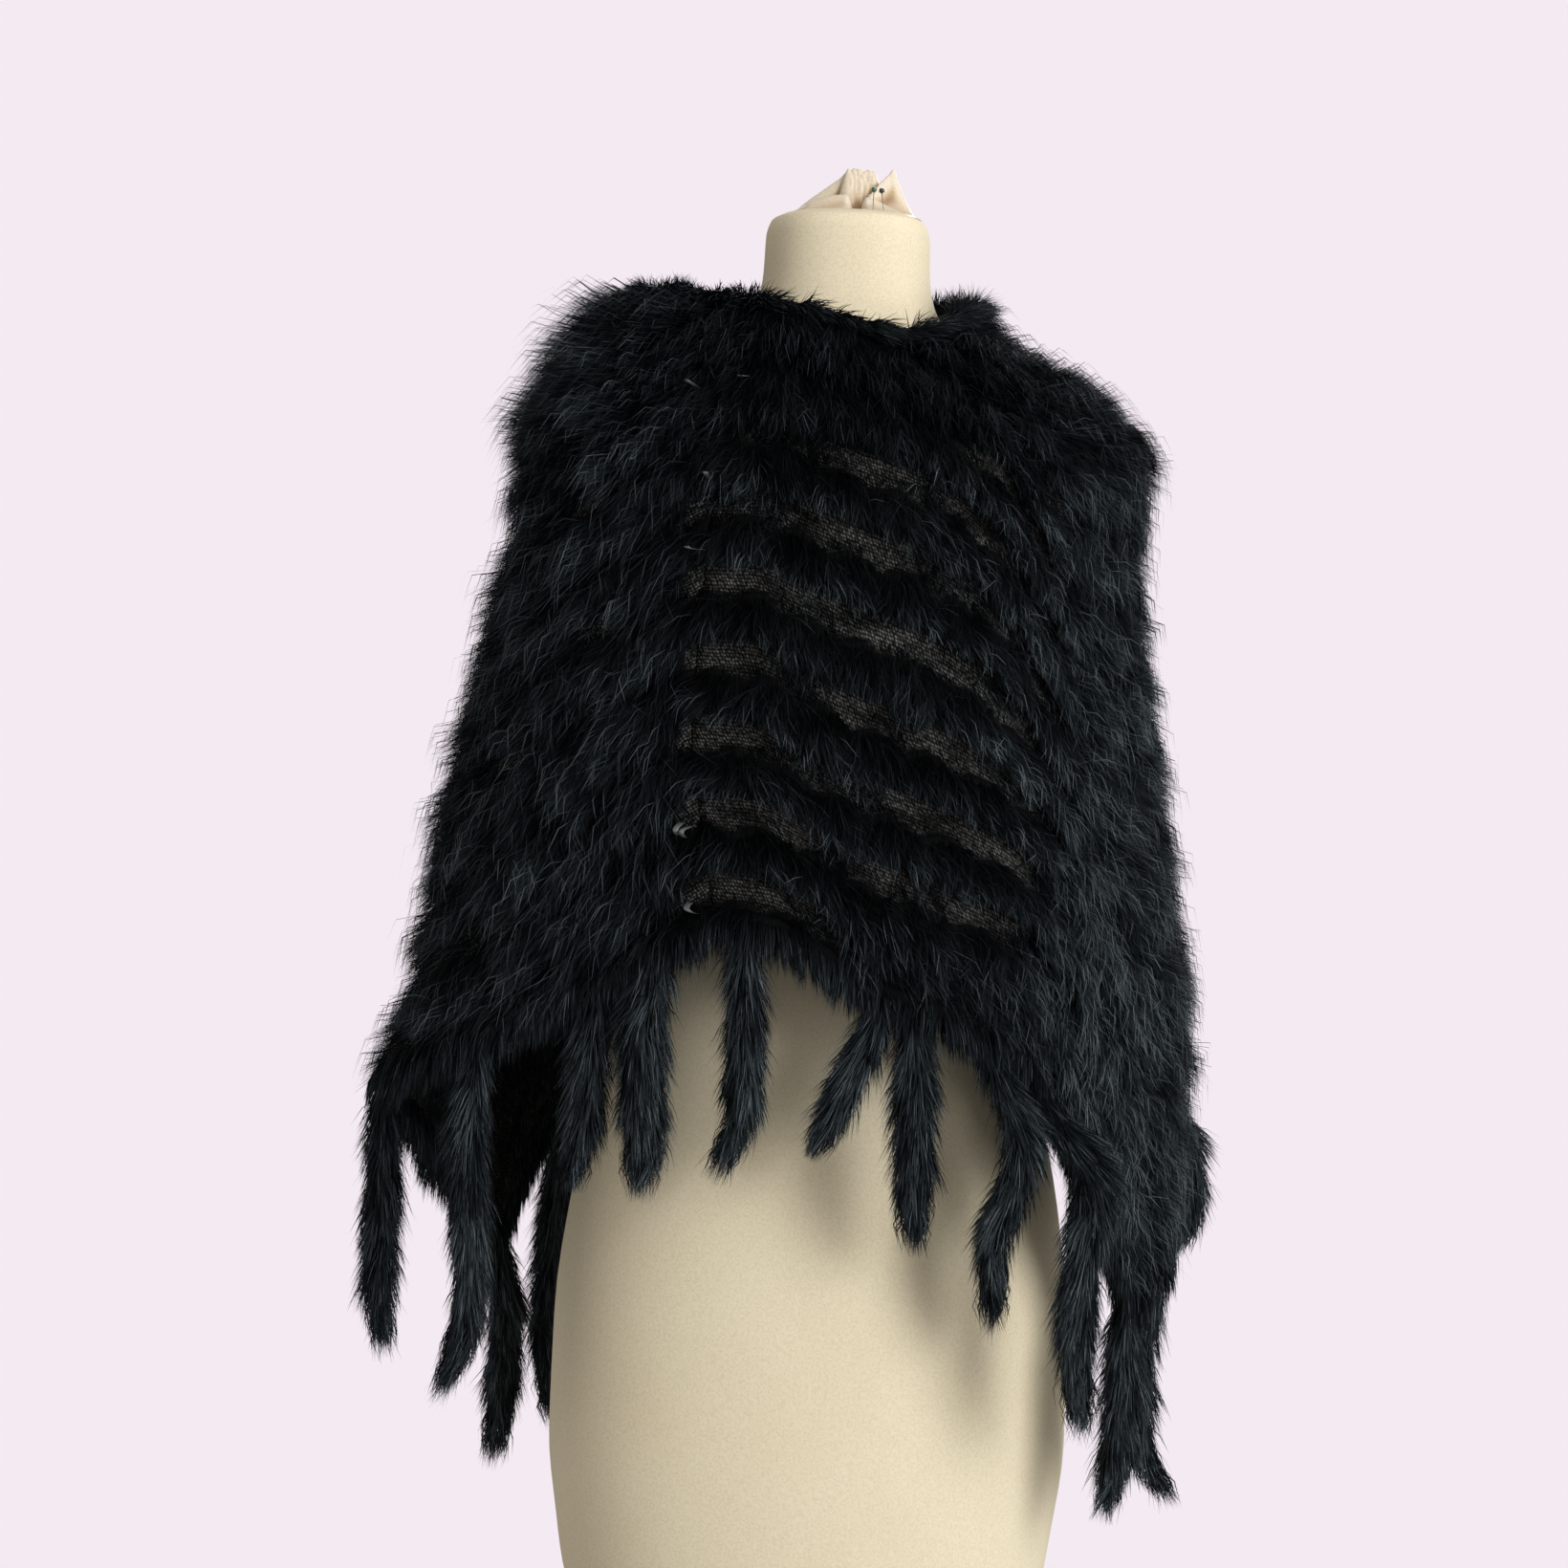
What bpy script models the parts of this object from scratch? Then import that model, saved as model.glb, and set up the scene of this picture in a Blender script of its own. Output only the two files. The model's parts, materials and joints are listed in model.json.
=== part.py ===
"""A knitted fur poncho on a limbless dress form, in metres, +Z up, with the front facing -Y.

The poncho is two panels, sewn to each other down the front and down the back. Each hangs from the
form's shoulders in a point, one at the right of the front and one at the left of the back. Fur rows
run along each panel beside its hem, and fur tails hang from a fur edging under the hem.
"""

import math
from collections import namedtuple

import bmesh
import bpy
from mathutils import Vector
from mathutils.bvhtree import BVHTree

# Azimuths are in degrees round the vertical axis: 0 is the front, 90 is +X
HALF_TURN = 180.0

# Cloth and fur
KNIT_WALL = 0.003
FUR_DEPTH = 0.0165
ROW_PITCH = 0.050
ROW_CREST_END = 0.60
ROW_VALLEY = 0.80
ROW_AT_HEM = 0.50
VALLEY_CLOSED = 0.45
LEFT_SHOULDER_FUR = 0.017
LEFT_SHOULDER_FROM = 0.715
LEFT_SHOULDER_TO = 0.765
PART_GAP = 0.0003
SEAM_AZIMUTH = -26.0
SEAM_HALF_ANGLE = 0.11
CLOTH_SQUARENESS = 2.15
REST_CLEARANCE = 0.0021

# The columns of each panel, from its first seam to its point and on to its second seam
POINT_TURN = 89.0
COLUMNS_TO_POINT = 17
COLUMNS_FROM_POINT = 16

# The panels lean round the body above the hem, as their seams do
LEAN_DEGREES = -8.0
LEAN_FROM = 0.450
LEAN_TO = 0.600

# The fur edging under the hem and round the neck
EDGING_HEIGHT = 0.016
EDGING_BULGE = 0.002
EDGING_TAPER = 0.25
NECK_ROLL_HEIGHT = 0.017
NECK_ROLL_NARROW = 0.30

# The rows near the hem follow it closely, and the upper ones follow its smoother line
HEM_INFLUENCE = 0.30

# The height of the hem and of its smoother line, by the turn from a seam to the next one
HemHeight = namedtuple("HemHeight", "turn hem smooth")
HEM = (
    HemHeight(0.0, 0.452, 0.450),
    HemHeight(12.0, 0.450, 0.450),
    HemHeight(24.0, 0.434, 0.440),
    HemHeight(36.0, 0.414, 0.430),
    HemHeight(53.0, 0.394, 0.418),
    HemHeight(69.0, 0.368, 0.396),
    HemHeight(78.0, 0.334, 0.370),
    HemHeight(84.0, 0.268, 0.336),
    HemHeight(POINT_TURN, 0.216, 0.312),
    HemHeight(97.0, 0.256, 0.312),
    HemHeight(106.0, 0.284, 0.318),
    HemHeight(120.0, 0.330, 0.338),
    HemHeight(132.0, 0.350, 0.356),
    HemHeight(146.0, 0.384, 0.388),
    HemHeight(162.0, 0.418, 0.422),
    HemHeight(HALF_TURN, 0.452, 0.450),
)

# The inside of the cloth over the shoulders, from the neck's edge outward: reach and height each way,
# and how far the neck dips at the right of its front
YokeRing = namedtuple("YokeRing", "left right front back z_left z_right z_front z_back dip")
YOKE = (
    YokeRing(0.134, 0.083, 0.092, 0.086, 0.862, 0.864, 0.850, 0.878, 0.015),
    YokeRing(0.154, 0.112, 0.104, 0.097, 0.843, 0.834, 0.824, 0.850, 0.011),
    YokeRing(0.174, 0.163, 0.114, 0.104, 0.805, 0.807, 0.790, 0.814, 0.003),
)
DIP_AZIMUTH = 30.0
DIP_HALF_WIDTH = 55.0
HANG_DROP = 0.030

# The inside of the hanging cloth by height: reach to each side, to the front and to the back
HangSection = namedtuple("HangSection", "height left right front back")
HANG = (
    HangSection(0.190, 0.286, 0.238, 0.160, 0.156),
    HangSection(0.330, 0.284, 0.237, 0.161, 0.155),
    HangSection(0.400, 0.262, 0.236, 0.160, 0.150),
    HangSection(0.500, 0.248, 0.218, 0.152, 0.140),
    HangSection(0.600, 0.228, 0.203, 0.143, 0.128),
    HangSection(0.660, 0.216, 0.194, 0.138, 0.121),
    HangSection(0.715, 0.200, 0.189, 0.132, 0.115),
    HangSection(0.765, 0.1917, 0.192, 0.122, 0.110),
    HangSection(0.790, 0.187, 0.187, 0.112, 0.106),
)
HANG_STEP = 0.025

# Soft folds in the hanging cloth: a positive depth stands out, and each fades in below its top
Fold = namedtuple("Fold", "azimuth half_width depth top")
FOLDS = (
    Fold(-44.0, 12.0, -0.008, 0.560),
    Fold(-74.0, 13.0, 0.012, 0.520),
    Fold(-98.0, 12.0, -0.016, 0.480),
    Fold(-120.0, 13.0, 0.010, 0.560),
    Fold(-150.0, 14.0, -0.009, 0.560),
    Fold(-172.0, 11.0, 0.009, 0.600),
    Fold(22.0, 15.0, 0.007, 0.600),
    Fold(49.0, 11.0, -0.012, 0.520),
    Fold(65.0, 11.0, 0.011, 0.640),
    Fold(84.0, 10.0, -0.009, 0.540),
    Fold(112.0, 13.0, 0.009, 0.560),
    Fold(138.0, 13.0, -0.010, 0.520),
)
FOLD_RUN = 0.200

# Fur tails: azimuth of the root, length and width, and how far its parts swing to +X and outward
Tail = namedtuple("Tail", "azimuth length width swing_1 swing_2 swing_3 out")
TAILS = (
    Tail(-18.0, 0.160, 0.030, 0.004, 0.004, -0.014, 0.004),
    Tail(13.0, 0.100, 0.030, -0.014, -0.028, -0.040, 0.006),
    Tail(20.0, 0.150, 0.034, -0.002, 0.001, 0.002, 0.006),
    Tail(34.0, 0.186, 0.032, 0.018, 0.002, 0.002, 0.010),
    Tail(45.0, 0.232, 0.038, -0.006, -0.012, -0.004, 0.056),
    Tail(62.0, 0.145, 0.034, 0.000, -0.002, -0.013, 0.000),
    Tail(67.0, 0.152, 0.030, -0.010, -0.009, 0.018, 0.002),
    Tail(98.0, 0.104, 0.032, 0.012, 0.014, 0.000, 0.004),
    Tail(118.0, 0.150, 0.034, 0.004, -0.004, -0.010, 0.004),
    Tail(136.0, 0.140, 0.032, -0.004, 0.004, 0.012, 0.004),
    Tail(150.0, 0.150, 0.036, 0.000, 0.002, 0.002, 0.006),
    Tail(165.0, 0.150, 0.030, -0.004, -0.004, 0.010, 0.004),
    Tail(190.0, 0.130, 0.032, 0.006, 0.012, 0.018, 0.006),
    Tail(206.0, 0.160, 0.034, -0.004, -0.008, -0.010, 0.006),
    Tail(221.0, 0.150, 0.032, -0.008, 0.000, -0.006, 0.006),
    Tail(-134.0, 0.312, 0.036, -0.014, -0.020, -0.014, 0.038),
    Tail(-117.0, 0.166, 0.036, 0.012, 0.012, 0.004, 0.004),
    Tail(-88.0, 0.182, 0.036, 0.005, 0.004, 0.010, 0.004),
    Tail(-65.0, 0.248, 0.036, 0.004, 0.008, -0.014, 0.008),
    Tail(-48.0, 0.128, 0.032, 0.002, 0.000, -0.008, 0.006),
    Tail(-36.0, 0.154, 0.042, 0.000, 0.002, 0.004, 0.010),
)
TAIL_SHAPE = ((0.10, 0.80), (0.34, 1.00), (0.64, 0.94), (0.90, 0.66), (1.00, 0.22))
TAIL_THICKNESS = 0.80
TAIL_OUT_AT = 0.24

# The dress form by height: half its width, and its reach to the front and to the back
FormSection = namedtuple("FormSection", "height side front back")
FORM = (
    FormSection(0.000, 0.154, 0.110, 0.104),
    FormSection(0.008, 0.160, 0.115, 0.109),
    FormSection(0.050, 0.168, 0.120, 0.114),
    FormSection(0.110, 0.175, 0.123, 0.119),
    FormSection(0.190, 0.174, 0.121, 0.122),
    FormSection(0.270, 0.165, 0.114, 0.117),
    FormSection(0.350, 0.147, 0.104, 0.101),
    FormSection(0.420, 0.130, 0.095, 0.087),
    FormSection(0.475, 0.123, 0.091, 0.082),
    FormSection(0.540, 0.129, 0.098, 0.085),
    FormSection(0.610, 0.144, 0.115, 0.092),
    FormSection(0.670, 0.156, 0.127, 0.098),
    FormSection(0.710, 0.164, 0.125, 0.102),
    FormSection(0.740, 0.177, 0.114, 0.103),
    FormSection(0.762, 0.187, 0.105, 0.101),
    FormSection(0.778, 0.187, 0.099, 0.098),
    FormSection(0.790, 0.178, 0.094, 0.095),
    FormSection(0.801, 0.160, 0.089, 0.091),
    FormSection(0.813, 0.138, 0.083, 0.086),
    FormSection(0.827, 0.115, 0.076, 0.080),
    FormSection(0.842, 0.092, 0.069, 0.073),
    FormSection(0.857, 0.073, 0.062, 0.066),
    FormSection(0.874, 0.061, 0.058, 0.060),
    FormSection(0.895, 0.057, 0.056, 0.057),
    FormSection(0.920, 0.056, 0.055, 0.056),
    FormSection(0.930, 0.053, 0.052, 0.053),
    FormSection(0.934, 0.046, 0.045, 0.046),
)
FORM_SIDES = 36
FORM_SQUARENESS = 2.25

# The gathered jersey on the neck: height above the neck, half-widths, and where its middle lies
GatherSection = namedtuple("GatherSection", "height side depth centre_x pleat")
GATHER = (
    GatherSection(0.0003, 0.044, 0.036, 0.002, 0.00),
    GatherSection(0.0080, 0.043, 0.034, 0.002, 0.04),
    GatherSection(0.0160, 0.036, 0.026, 0.004, 0.10),
    GatherSection(0.0240, 0.027, 0.016, 0.008, 0.14),
    GatherSection(0.0330, 0.018, 0.010, 0.0135, 0.16),
    GatherSection(0.0400, 0.014, 0.007, 0.0165, 0.10),
)
GATHER_SIDES = 24
GATHER_PLEATS = 8

# Colours and finish
FUR_COLOUR = (0.010, 0.010, 0.013, 1.0)
FUR_ROUGHNESS = 0.85
TAIL_COLOUR = (0.013, 0.014, 0.018, 1.0)
TAIL_ROUGHNESS = 0.70
JERSEY_COLOUR = (0.80, 0.72, 0.58, 1.0)
JERSEY_ROUGHNESS = 0.90

UP = Vector((0.0, 0.0, 1.0))


def curve_through(stations, values):
    """A function for the smooth curve through the values, which never swings past them."""
    steps = [b - a for a, b in zip(stations, stations[1:])]
    slopes = [(b - a) / step for a, b, step in zip(values, values[1:], steps)]
    turning = [0.0 if p * q <= 0 else 2 * p * q / (p + q) for p, q in zip(slopes, slopes[1:])]
    tangents = [slopes[0], *turning, slopes[-1]]

    def value(at):
        at = min(max(at, stations[0]), stations[-1])
        i = max(k for k in range(len(steps)) if stations[k] <= at)
        t = (at - stations[i]) / steps[i]
        ease = t * t * (3 - 2 * t)
        start = tangents[i] * steps[i] * t * (1 - t) ** 2
        end = tangents[i + 1] * steps[i] * t * t * (1 - t)
        return values[i] + (values[i + 1] - values[i]) * ease + start - end

    return value


def columns_of(rows, key):
    """A smooth curve for each other column of a table, by the key column's values."""
    stations = [getattr(row, key) for row in rows]
    names = [name for name in rows[0]._fields if name != key]
    return {n: curve_through(stations, [getattr(row, n) for row in rows]) for n in names}


def smooth_step(t):
    t = min(max(t, 0.0), 1.0)
    return t * t * (3 - 2 * t)


HEM_CURVES = columns_of(HEM, "turn")
HANG_CURVES = columns_of(HANG, "height")
FORM_CURVES = columns_of(FORM, "height")


def direction(azimuth):
    angle = math.radians(azimuth)
    return Vector((math.sin(angle), -math.cos(angle), 0.0))


def oval_radius(azimuth, left, right, front, back, squareness):
    """The reach at an azimuth of an oval whose four reaches may differ."""
    sine = math.sin(math.radians(azimuth))
    cosine = math.cos(math.radians(azimuth))
    side = right if sine > 0 else left
    face = front if cosine > 0 else back
    total = (abs(sine) / side) ** squareness + (abs(cosine) / face) ** squareness
    return total ** (-1 / squareness)


def around(azimuth, left, right, front, back):
    """A height at an azimuth, blended from the heights to the four sides."""
    sine = math.sin(math.radians(azimuth))
    cosine = math.cos(math.radians(azimuth))
    side = right if sine > 0 else left
    face = front if cosine > 0 else back
    return side * sine * sine + face * cosine * cosine


def turn_of(azimuth):
    """The turn from the seam that comes before this azimuth."""
    return (azimuth - SEAM_AZIMUTH) % HALF_TURN


def leaned(azimuth, height):
    return azimuth + LEAN_DEGREES * smooth_step((height - LEAN_FROM) / (LEAN_TO - LEAN_FROM))


def fold_depth(azimuth, height):
    depth = 0.0
    for fold in FOLDS:
        away = abs((azimuth - fold.azimuth + HALF_TURN) % (2 * HALF_TURN) - HALF_TURN)
        if away < fold.half_width:
            bell = math.cos(math.pi / 2 * away / fold.half_width) ** 2
            depth += fold.depth * bell * smooth_step((fold.top - height) / FOLD_RUN)
    return depth


def hang_point(azimuth, height):
    """A point on the inside of the hanging cloth, for a column that meets the hem at this azimuth."""
    here = leaned(azimuth, height)
    reach = [HANG_CURVES[side](height) for side in ("left", "right", "front", "back")]
    radius = oval_radius(here, *reach, CLOTH_SQUARENESS) + fold_depth(azimuth, height)
    return direction(here) * radius + UP * height


def yoke_point(azimuth, ring):
    """A point on the inside of the cloth over the shoulders."""
    here = azimuth + LEAN_DEGREES
    radius = oval_radius(here, ring.left, ring.right, ring.front, ring.back, CLOTH_SQUARENESS)
    away = abs((here - DIP_AZIMUTH + HALF_TURN) % (2 * HALF_TURN) - HALF_TURN)
    dip = ring.dip * math.cos(math.pi / 2 * min(away / DIP_HALF_WIDTH, 1.0)) ** 2
    height = around(here, ring.z_left, ring.z_right, ring.z_front, ring.z_back) - dip
    return direction(here) * radius + UP * height


def smoothed(points, pieces=4):
    """A smooth curve through the points, as closer points."""
    ends = [points[0] * 2 - points[1], *points, points[-1] * 2 - points[-2]]
    curve = []
    for a, b, c, d in zip(ends, ends[1:], ends[2:], ends[3:]):
        for step in range(pieces):
            t = step / pieces
            bend = (a * 2 - b * 5 + c * 4 - d) * t * t + (b * 3 - a - c * 3 + d) * t ** 3
            curve.append((b * 2 + (c - a) * t + bend) / 2)
    curve.append(points[-1].copy())
    return curve


def profile(azimuth, bottom):
    """The inside of the cloth from a height at the hem up to the neck's edge, as close points."""
    top = yoke_point(azimuth, YOKE[-1]).z - HANG_DROP
    steps = max(2, round((top - bottom) / HANG_STEP))
    hanging = [hang_point(azimuth, bottom + (top - bottom) * i / steps) for i in range(steps + 1)]
    return smoothed(hanging + [yoke_point(azimuth, ring) for ring in reversed(YOKE)])


def lengths_along(points):
    lengths = [0.0]
    for a, b in zip(points, points[1:]):
        lengths.append(lengths[-1] + (b - a).length)
    return lengths


def at_length(points, lengths, wanted):
    """The point at a length along the close points, or past their end in the last direction."""
    i = max(k for k in range(len(points) - 1) if k == 0 or lengths[k] <= wanted)
    t = (wanted - lengths[i]) / (lengths[i + 1] - lengths[i])
    return points[i].lerp(points[i + 1], t)


def valley_depth(azimuth):
    """How far the knit shows between the rows: most at the right of the front."""
    away = abs((azimuth - 12.0 + HALF_TURN) % (2 * HALF_TURN) - HALF_TURN)
    return 1.0 - VALLEY_CLOSED * smooth_step((away - 35.0) / 25.0)


def longer_fur(point):
    """How much further the fur stands out on the left shoulder."""
    share = smooth_step((point.z - LEFT_SHOULDER_FROM) / (LEFT_SHOULDER_TO - LEFT_SHOULDER_FROM))
    return LEFT_SHOULDER_FUR * share * smooth_step(-point.x / math.hypot(point.x, point.y))


def row_lines(azimuth, length):
    """The lines across a column: each one's distance from the hem, and the wall's thickness there."""
    turn = turn_of(azimuth)
    shift = HEM_CURVES["smooth"](turn) - HEM_CURVES["hem"](turn)
    lines = [(0.0, KNIT_WALL + FUR_DEPTH)]
    row = 0
    while True:
        for phase in (0.0, ROW_CREST_END, ROW_VALLEY):
            level = (row + phase - ROW_AT_HEM) * ROW_PITCH
            if level < ROW_PITCH * 0.2:
                continue
            distance = level + shift * smooth_step(level / HEM_INFLUENCE)
            if distance > length - ROW_PITCH * 0.12:
                return lines
            is_valley = phase == ROW_VALLEY
            depth = FUR_DEPTH * (1 - valley_depth(azimuth)) if is_valley else FUR_DEPTH
            lines.append((distance, KNIT_WALL + depth))
        row += 1


Column = namedtuple("Column", "azimuth inner outer down")


def cloth_column(azimuth, form_tree):
    """One column of a panel: its inner and outer points from the hem up to the neck."""
    bottom = HEM_CURVES["hem"](turn_of(azimuth)) + EDGING_HEIGHT
    tilt = 0.5
    middle, before, after = (profile(azimuth + turn, bottom) for turn in (0.0, -tilt, tilt))
    lengths = lengths_along(middle)
    beside = lengths_along(before), lengths_along(after)
    lines = row_lines(azimuth, lengths[-1]) + [(lengths[-1], KNIT_WALL + FUR_DEPTH)]
    inner = []
    outer = []
    for distance, wall in lines:
        point = at_length(middle, lengths, distance)
        share = distance / lengths[-1]
        across = at_length(after, beside[1], share * beside[1][-1]) - at_length(
            before, beside[0], share * beside[0][-1]
        )
        reach = 0.004
        along = at_length(middle, lengths, distance + reach) - at_length(middle, lengths, distance - reach)
        normal = across.cross(along).normalized()
        touch, form_normal, _, _ = form_tree.find_nearest(point)
        if (point - touch).dot(form_normal) < REST_CLEARANCE:
            point = touch + form_normal * REST_CLEARANCE
        inner.append(point)
        outer.append(point + normal * (wall + longer_fur(point)))
    down = (at_length(middle, lengths, 0.0) - at_length(middle, lengths, 0.006)).normalized()
    return Column(azimuth, inner, outer, down)


def column_azimuths(seam):
    """Azimuths of a panel's columns, evenly along its hem from a seam to the point and on."""
    def hem_point(turn):
        return hang_point(seam + turn, HEM_CURVES["hem"](turn))

    azimuths = []
    for start, end, count in (
        (0.0, POINT_TURN, COLUMNS_TO_POINT),
        (POINT_TURN, HALF_TURN, COLUMNS_FROM_POINT),
    ):
        turns = [start + (end - start) * i / 120 for i in range(121)]
        lengths = lengths_along([hem_point(turn) for turn in turns])
        for i in range(count):
            wanted = lengths[-1] * i / count
            k = max(n for n in range(120) if lengths[n] <= wanted)
            share = (wanted - lengths[k]) / (lengths[k + 1] - lengths[k])
            azimuths.append(seam + turns[k] + (turns[k + 1] - turns[k]) * share)
    azimuths[0] = seam + SEAM_HALF_ANGLE
    return [*azimuths, seam + HALF_TURN - SEAM_HALF_ANGLE]


def panel_columns(seam, form_tree):
    return [cloth_column(azimuth, form_tree) for azimuth in column_azimuths(seam)]


def material(name, colour, roughness):
    made = bpy.data.materials.new(name)
    made.use_nodes = True
    shader = made.node_tree.nodes["Principled BSDF"]
    shader.inputs["Base Color"].default_value = colour
    shader.inputs["Roughness"].default_value = roughness
    shader.inputs["Metallic"].default_value = 0.0
    return made


def place(name, mesh_data, finish, collection):
    """An object from bmesh data, with its faces turned out and shaded smooth."""
    bmesh.ops.recalc_face_normals(mesh_data, faces=mesh_data.faces)
    mesh = bpy.data.meshes.new(name)
    mesh_data.to_mesh(mesh)
    mesh_data.free()
    mesh.shade_smooth()
    mesh.materials.append(finish)
    made = bpy.data.objects.new(name, mesh)
    collection.objects.link(made)
    return made


def loft(rings):
    """A closed body through rings of equally many points, capped at both ends."""
    data = bmesh.new()
    rows = [[data.verts.new(point) for point in ring] for ring in rings]
    for low, high in zip(rows, rows[1:]):
        for i in range(len(low)):
            j = (i + 1) % len(low)
            data.faces.new((low[i], low[j], high[j], high[i]))
    data.faces.new(reversed(rows[0]))
    data.faces.new(rows[-1])
    return data


def form_ring(section):
    reach = (section.side, section.side, section.front, section.back)
    ring = []
    for i in range(FORM_SIDES):
        azimuth = 2 * HALF_TURN * i / FORM_SIDES
        ring.append(direction(azimuth) * oval_radius(azimuth, *reach, FORM_SQUARENESS) + UP * section.height)
    return ring


def gather_ring(section, neck_top):
    """A pleated ring of the jersey that is drawn together on the neck."""
    ring = []
    for i in range(GATHER_SIDES):
        angle = math.tau * i / GATHER_SIDES
        ripple = 1 + section.pleat * math.cos(GATHER_PLEATS * angle)
        x = section.centre_x + section.side * ripple * math.cos(angle)
        y = section.depth * ripple * math.sin(angle)
        ring.append(Vector((x, y, neck_top + section.height)))
    return ring


def zipped(low_side, high_side):
    """Triangles between two chains whose ends match, though their counts may not."""
    faces = []
    i = j = 0
    last_i = len(low_side) - 1
    last_j = len(high_side) - 1
    while i < last_i or j < last_j:
        first_is_next = i < last_i and (j == last_j or (i + 1) * last_j <= (j + 1) * last_i)
        if first_is_next:
            faces.append((low_side[i], high_side[j], low_side[i + 1]))
            i += 1
        else:
            faces.append((low_side[i], high_side[j], high_side[j + 1]))
            j += 1
    return faces


def strip_faces(a, b):
    """Faces between two columns of points: pairs while both have lines, then up to the neck."""
    shared = min(len(a), len(b)) - 1
    faces = []
    for k in range(shared - 1):
        faces.append((a[k], b[k], a[k + 1]))
        faces.append((b[k], b[k + 1], a[k + 1]))
    return faces + zipped(a[shared - 1:], b[shared - 1:])


def side_faces(inner, outer):
    """The narrow wall along an edge, cut into triangles in the same way on every piece."""
    faces = []
    for k in range(len(inner) - 1):
        faces.append((inner[k], inner[k + 1], outer[k]))
        faces.append((inner[k + 1], outer[k + 1], outer[k]))
    return faces


def panel_mesh(columns):
    """A panel: a plain inside, the fur rows raised outside, and walls along its four edges."""
    data = bmesh.new()
    inner = [[data.verts.new(p) for p in column.inner] for column in columns]
    outer = [[data.verts.new(p) for p in column.outer] for column in columns]
    faces = []
    for skin in (inner, outer):
        for a, b in zip(skin, skin[1:]):
            faces += strip_faces(a, b)
    faces += side_faces([c[0] for c in inner], [c[0] for c in outer])
    faces += side_faces([c[-1] for c in inner], [c[-1] for c in outer])
    faces += side_faces(inner[0], outer[0])
    faces += side_faces(inner[-1], outer[-1])
    for face in faces:
        data.faces.new(face)
    return data


def neck_roll_section(column):
    """The fur roll above a column: its foot on the panel's edge, and a rounded top."""
    inner = column.inner[-1]
    outer = column.outer[-1]
    up = (inner - column.inner[-2]).normalized()
    narrow = (outer - inner) * NECK_ROLL_NARROW
    lift = up * PART_GAP
    top = up * NECK_ROLL_HEIGHT
    bulge = (outer - inner).normalized() * EDGING_BULGE
    return [
        outer + lift,
        outer + bulge + top * 0.5,
        outer - narrow + top,
        inner + narrow + top,
        inner - bulge + top * 0.5,
        inner + lift,
    ]


def closed_strip(sections, is_loop):
    """Quads, cut into triangles in step with the panel's edge, round a strip of equal sections."""
    data = bmesh.new()
    rows = [[data.verts.new(p) for p in section] for section in sections]
    count = len(rows[0])
    pairs = list(zip(rows, rows[1:])) + ([(rows[-1], rows[0])] if is_loop else [])
    for a, b in pairs:
        for i in range(count):
            j = (i + 1) % count
            data.faces.new((a[i], b[i], a[j]))
            data.faces.new((b[i], b[j], a[j]))
    if not is_loop:
        data.faces.new(rows[0])
        data.faces.new(reversed(rows[-1]))
    return data


def edging_section(column):
    """The fur edging under the hem: its top on the panel's edge, and a narrower underside."""
    inner = column.inner[0]
    outer = column.outer[0]
    gap = column.down * PART_GAP
    drop = column.down * EDGING_HEIGHT
    narrow = (outer - inner) * EDGING_TAPER
    bulge = (outer - inner).normalized() * EDGING_BULGE
    return [
        outer + gap,
        outer + bulge + drop * 0.5,
        outer - narrow * 0.5 + drop,
        inner + narrow * 0.5 + drop,
        inner - bulge * 0.5 + drop * 0.5,
        inner + gap,
    ]


def root_slot(tail, columns):
    """The gap between columns that lies nearest under a tail's root, or None past the ends."""
    middles = [(a.azimuth + b.azimuth) / 2 for a, b in zip(columns, columns[1:])]
    wanted = tail.azimuth
    while wanted < columns[0].azimuth:
        wanted += 2 * HALF_TURN
    while wanted > columns[0].azimuth + 2 * HALF_TURN:
        wanted -= 2 * HALF_TURN
    if wanted > columns[-1].azimuth:
        return None
    return min(range(len(middles)), key=lambda i: abs(middles[i] - wanted))


def tail_ring(root, outward, tail, share, size):
    """The four corners of a tail at a share of its length, turned as its root is."""
    swings = curve_through([0.0, 0.34, 0.67, 1.0], [0.0, tail.swing_1, tail.swing_2, tail.swing_3])
    out = tail.out * smooth_step(share / TAIL_OUT_AT)
    middle = root + Vector((swings(share), 0.0, 0.0)) + outward * out - UP * tail.length * share
    across = UP.cross(outward)
    half = tail.width * size / 2
    deep = half * TAIL_THICKNESS
    corners = ((deep, -half), (-deep, -half), (-deep, half), (deep, half))
    return [middle + outward * o + across * a for o, a in corners]


def edging_with_tails(columns):
    """The edging of one panel, with its tails drawn down out of its underside."""
    data = closed_strip([edging_section(column) for column in columns], is_loop=False)
    data.verts.ensure_lookup_table()
    per_section = 6
    below = (2, 3)
    for tail in TAILS:
        slot = root_slot(tail, columns)
        if slot is None:
            continue
        first = [data.verts[slot * per_section + i] for i in below]
        second = [data.verts[(slot + 1) * per_section + i] for i in below]
        corners = [first[0], first[1], second[1], second[0]]
        for face in [f for f in data.faces if all(v in corners for v in f.verts)]:
            data.faces.remove(face)
        root = sum((v.co for v in corners), Vector()) / len(corners)
        outward = Vector((root.x, root.y, 0.0)).normalized()
        rings = [corners]
        for share, size in TAIL_SHAPE:
            ring = tail_ring(root, outward, tail, share, size)
            rings.append([data.verts.new(p) for p in ring])
        for high, low in zip(rings, rings[1:]):
            for i in range(4):
                j = (i + 1) % 4
                data.faces.new((high[i], high[j], low[j], low[i]))
        data.faces.new(rings[-1])
        data.verts.ensure_lookup_table()
    return data


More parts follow.
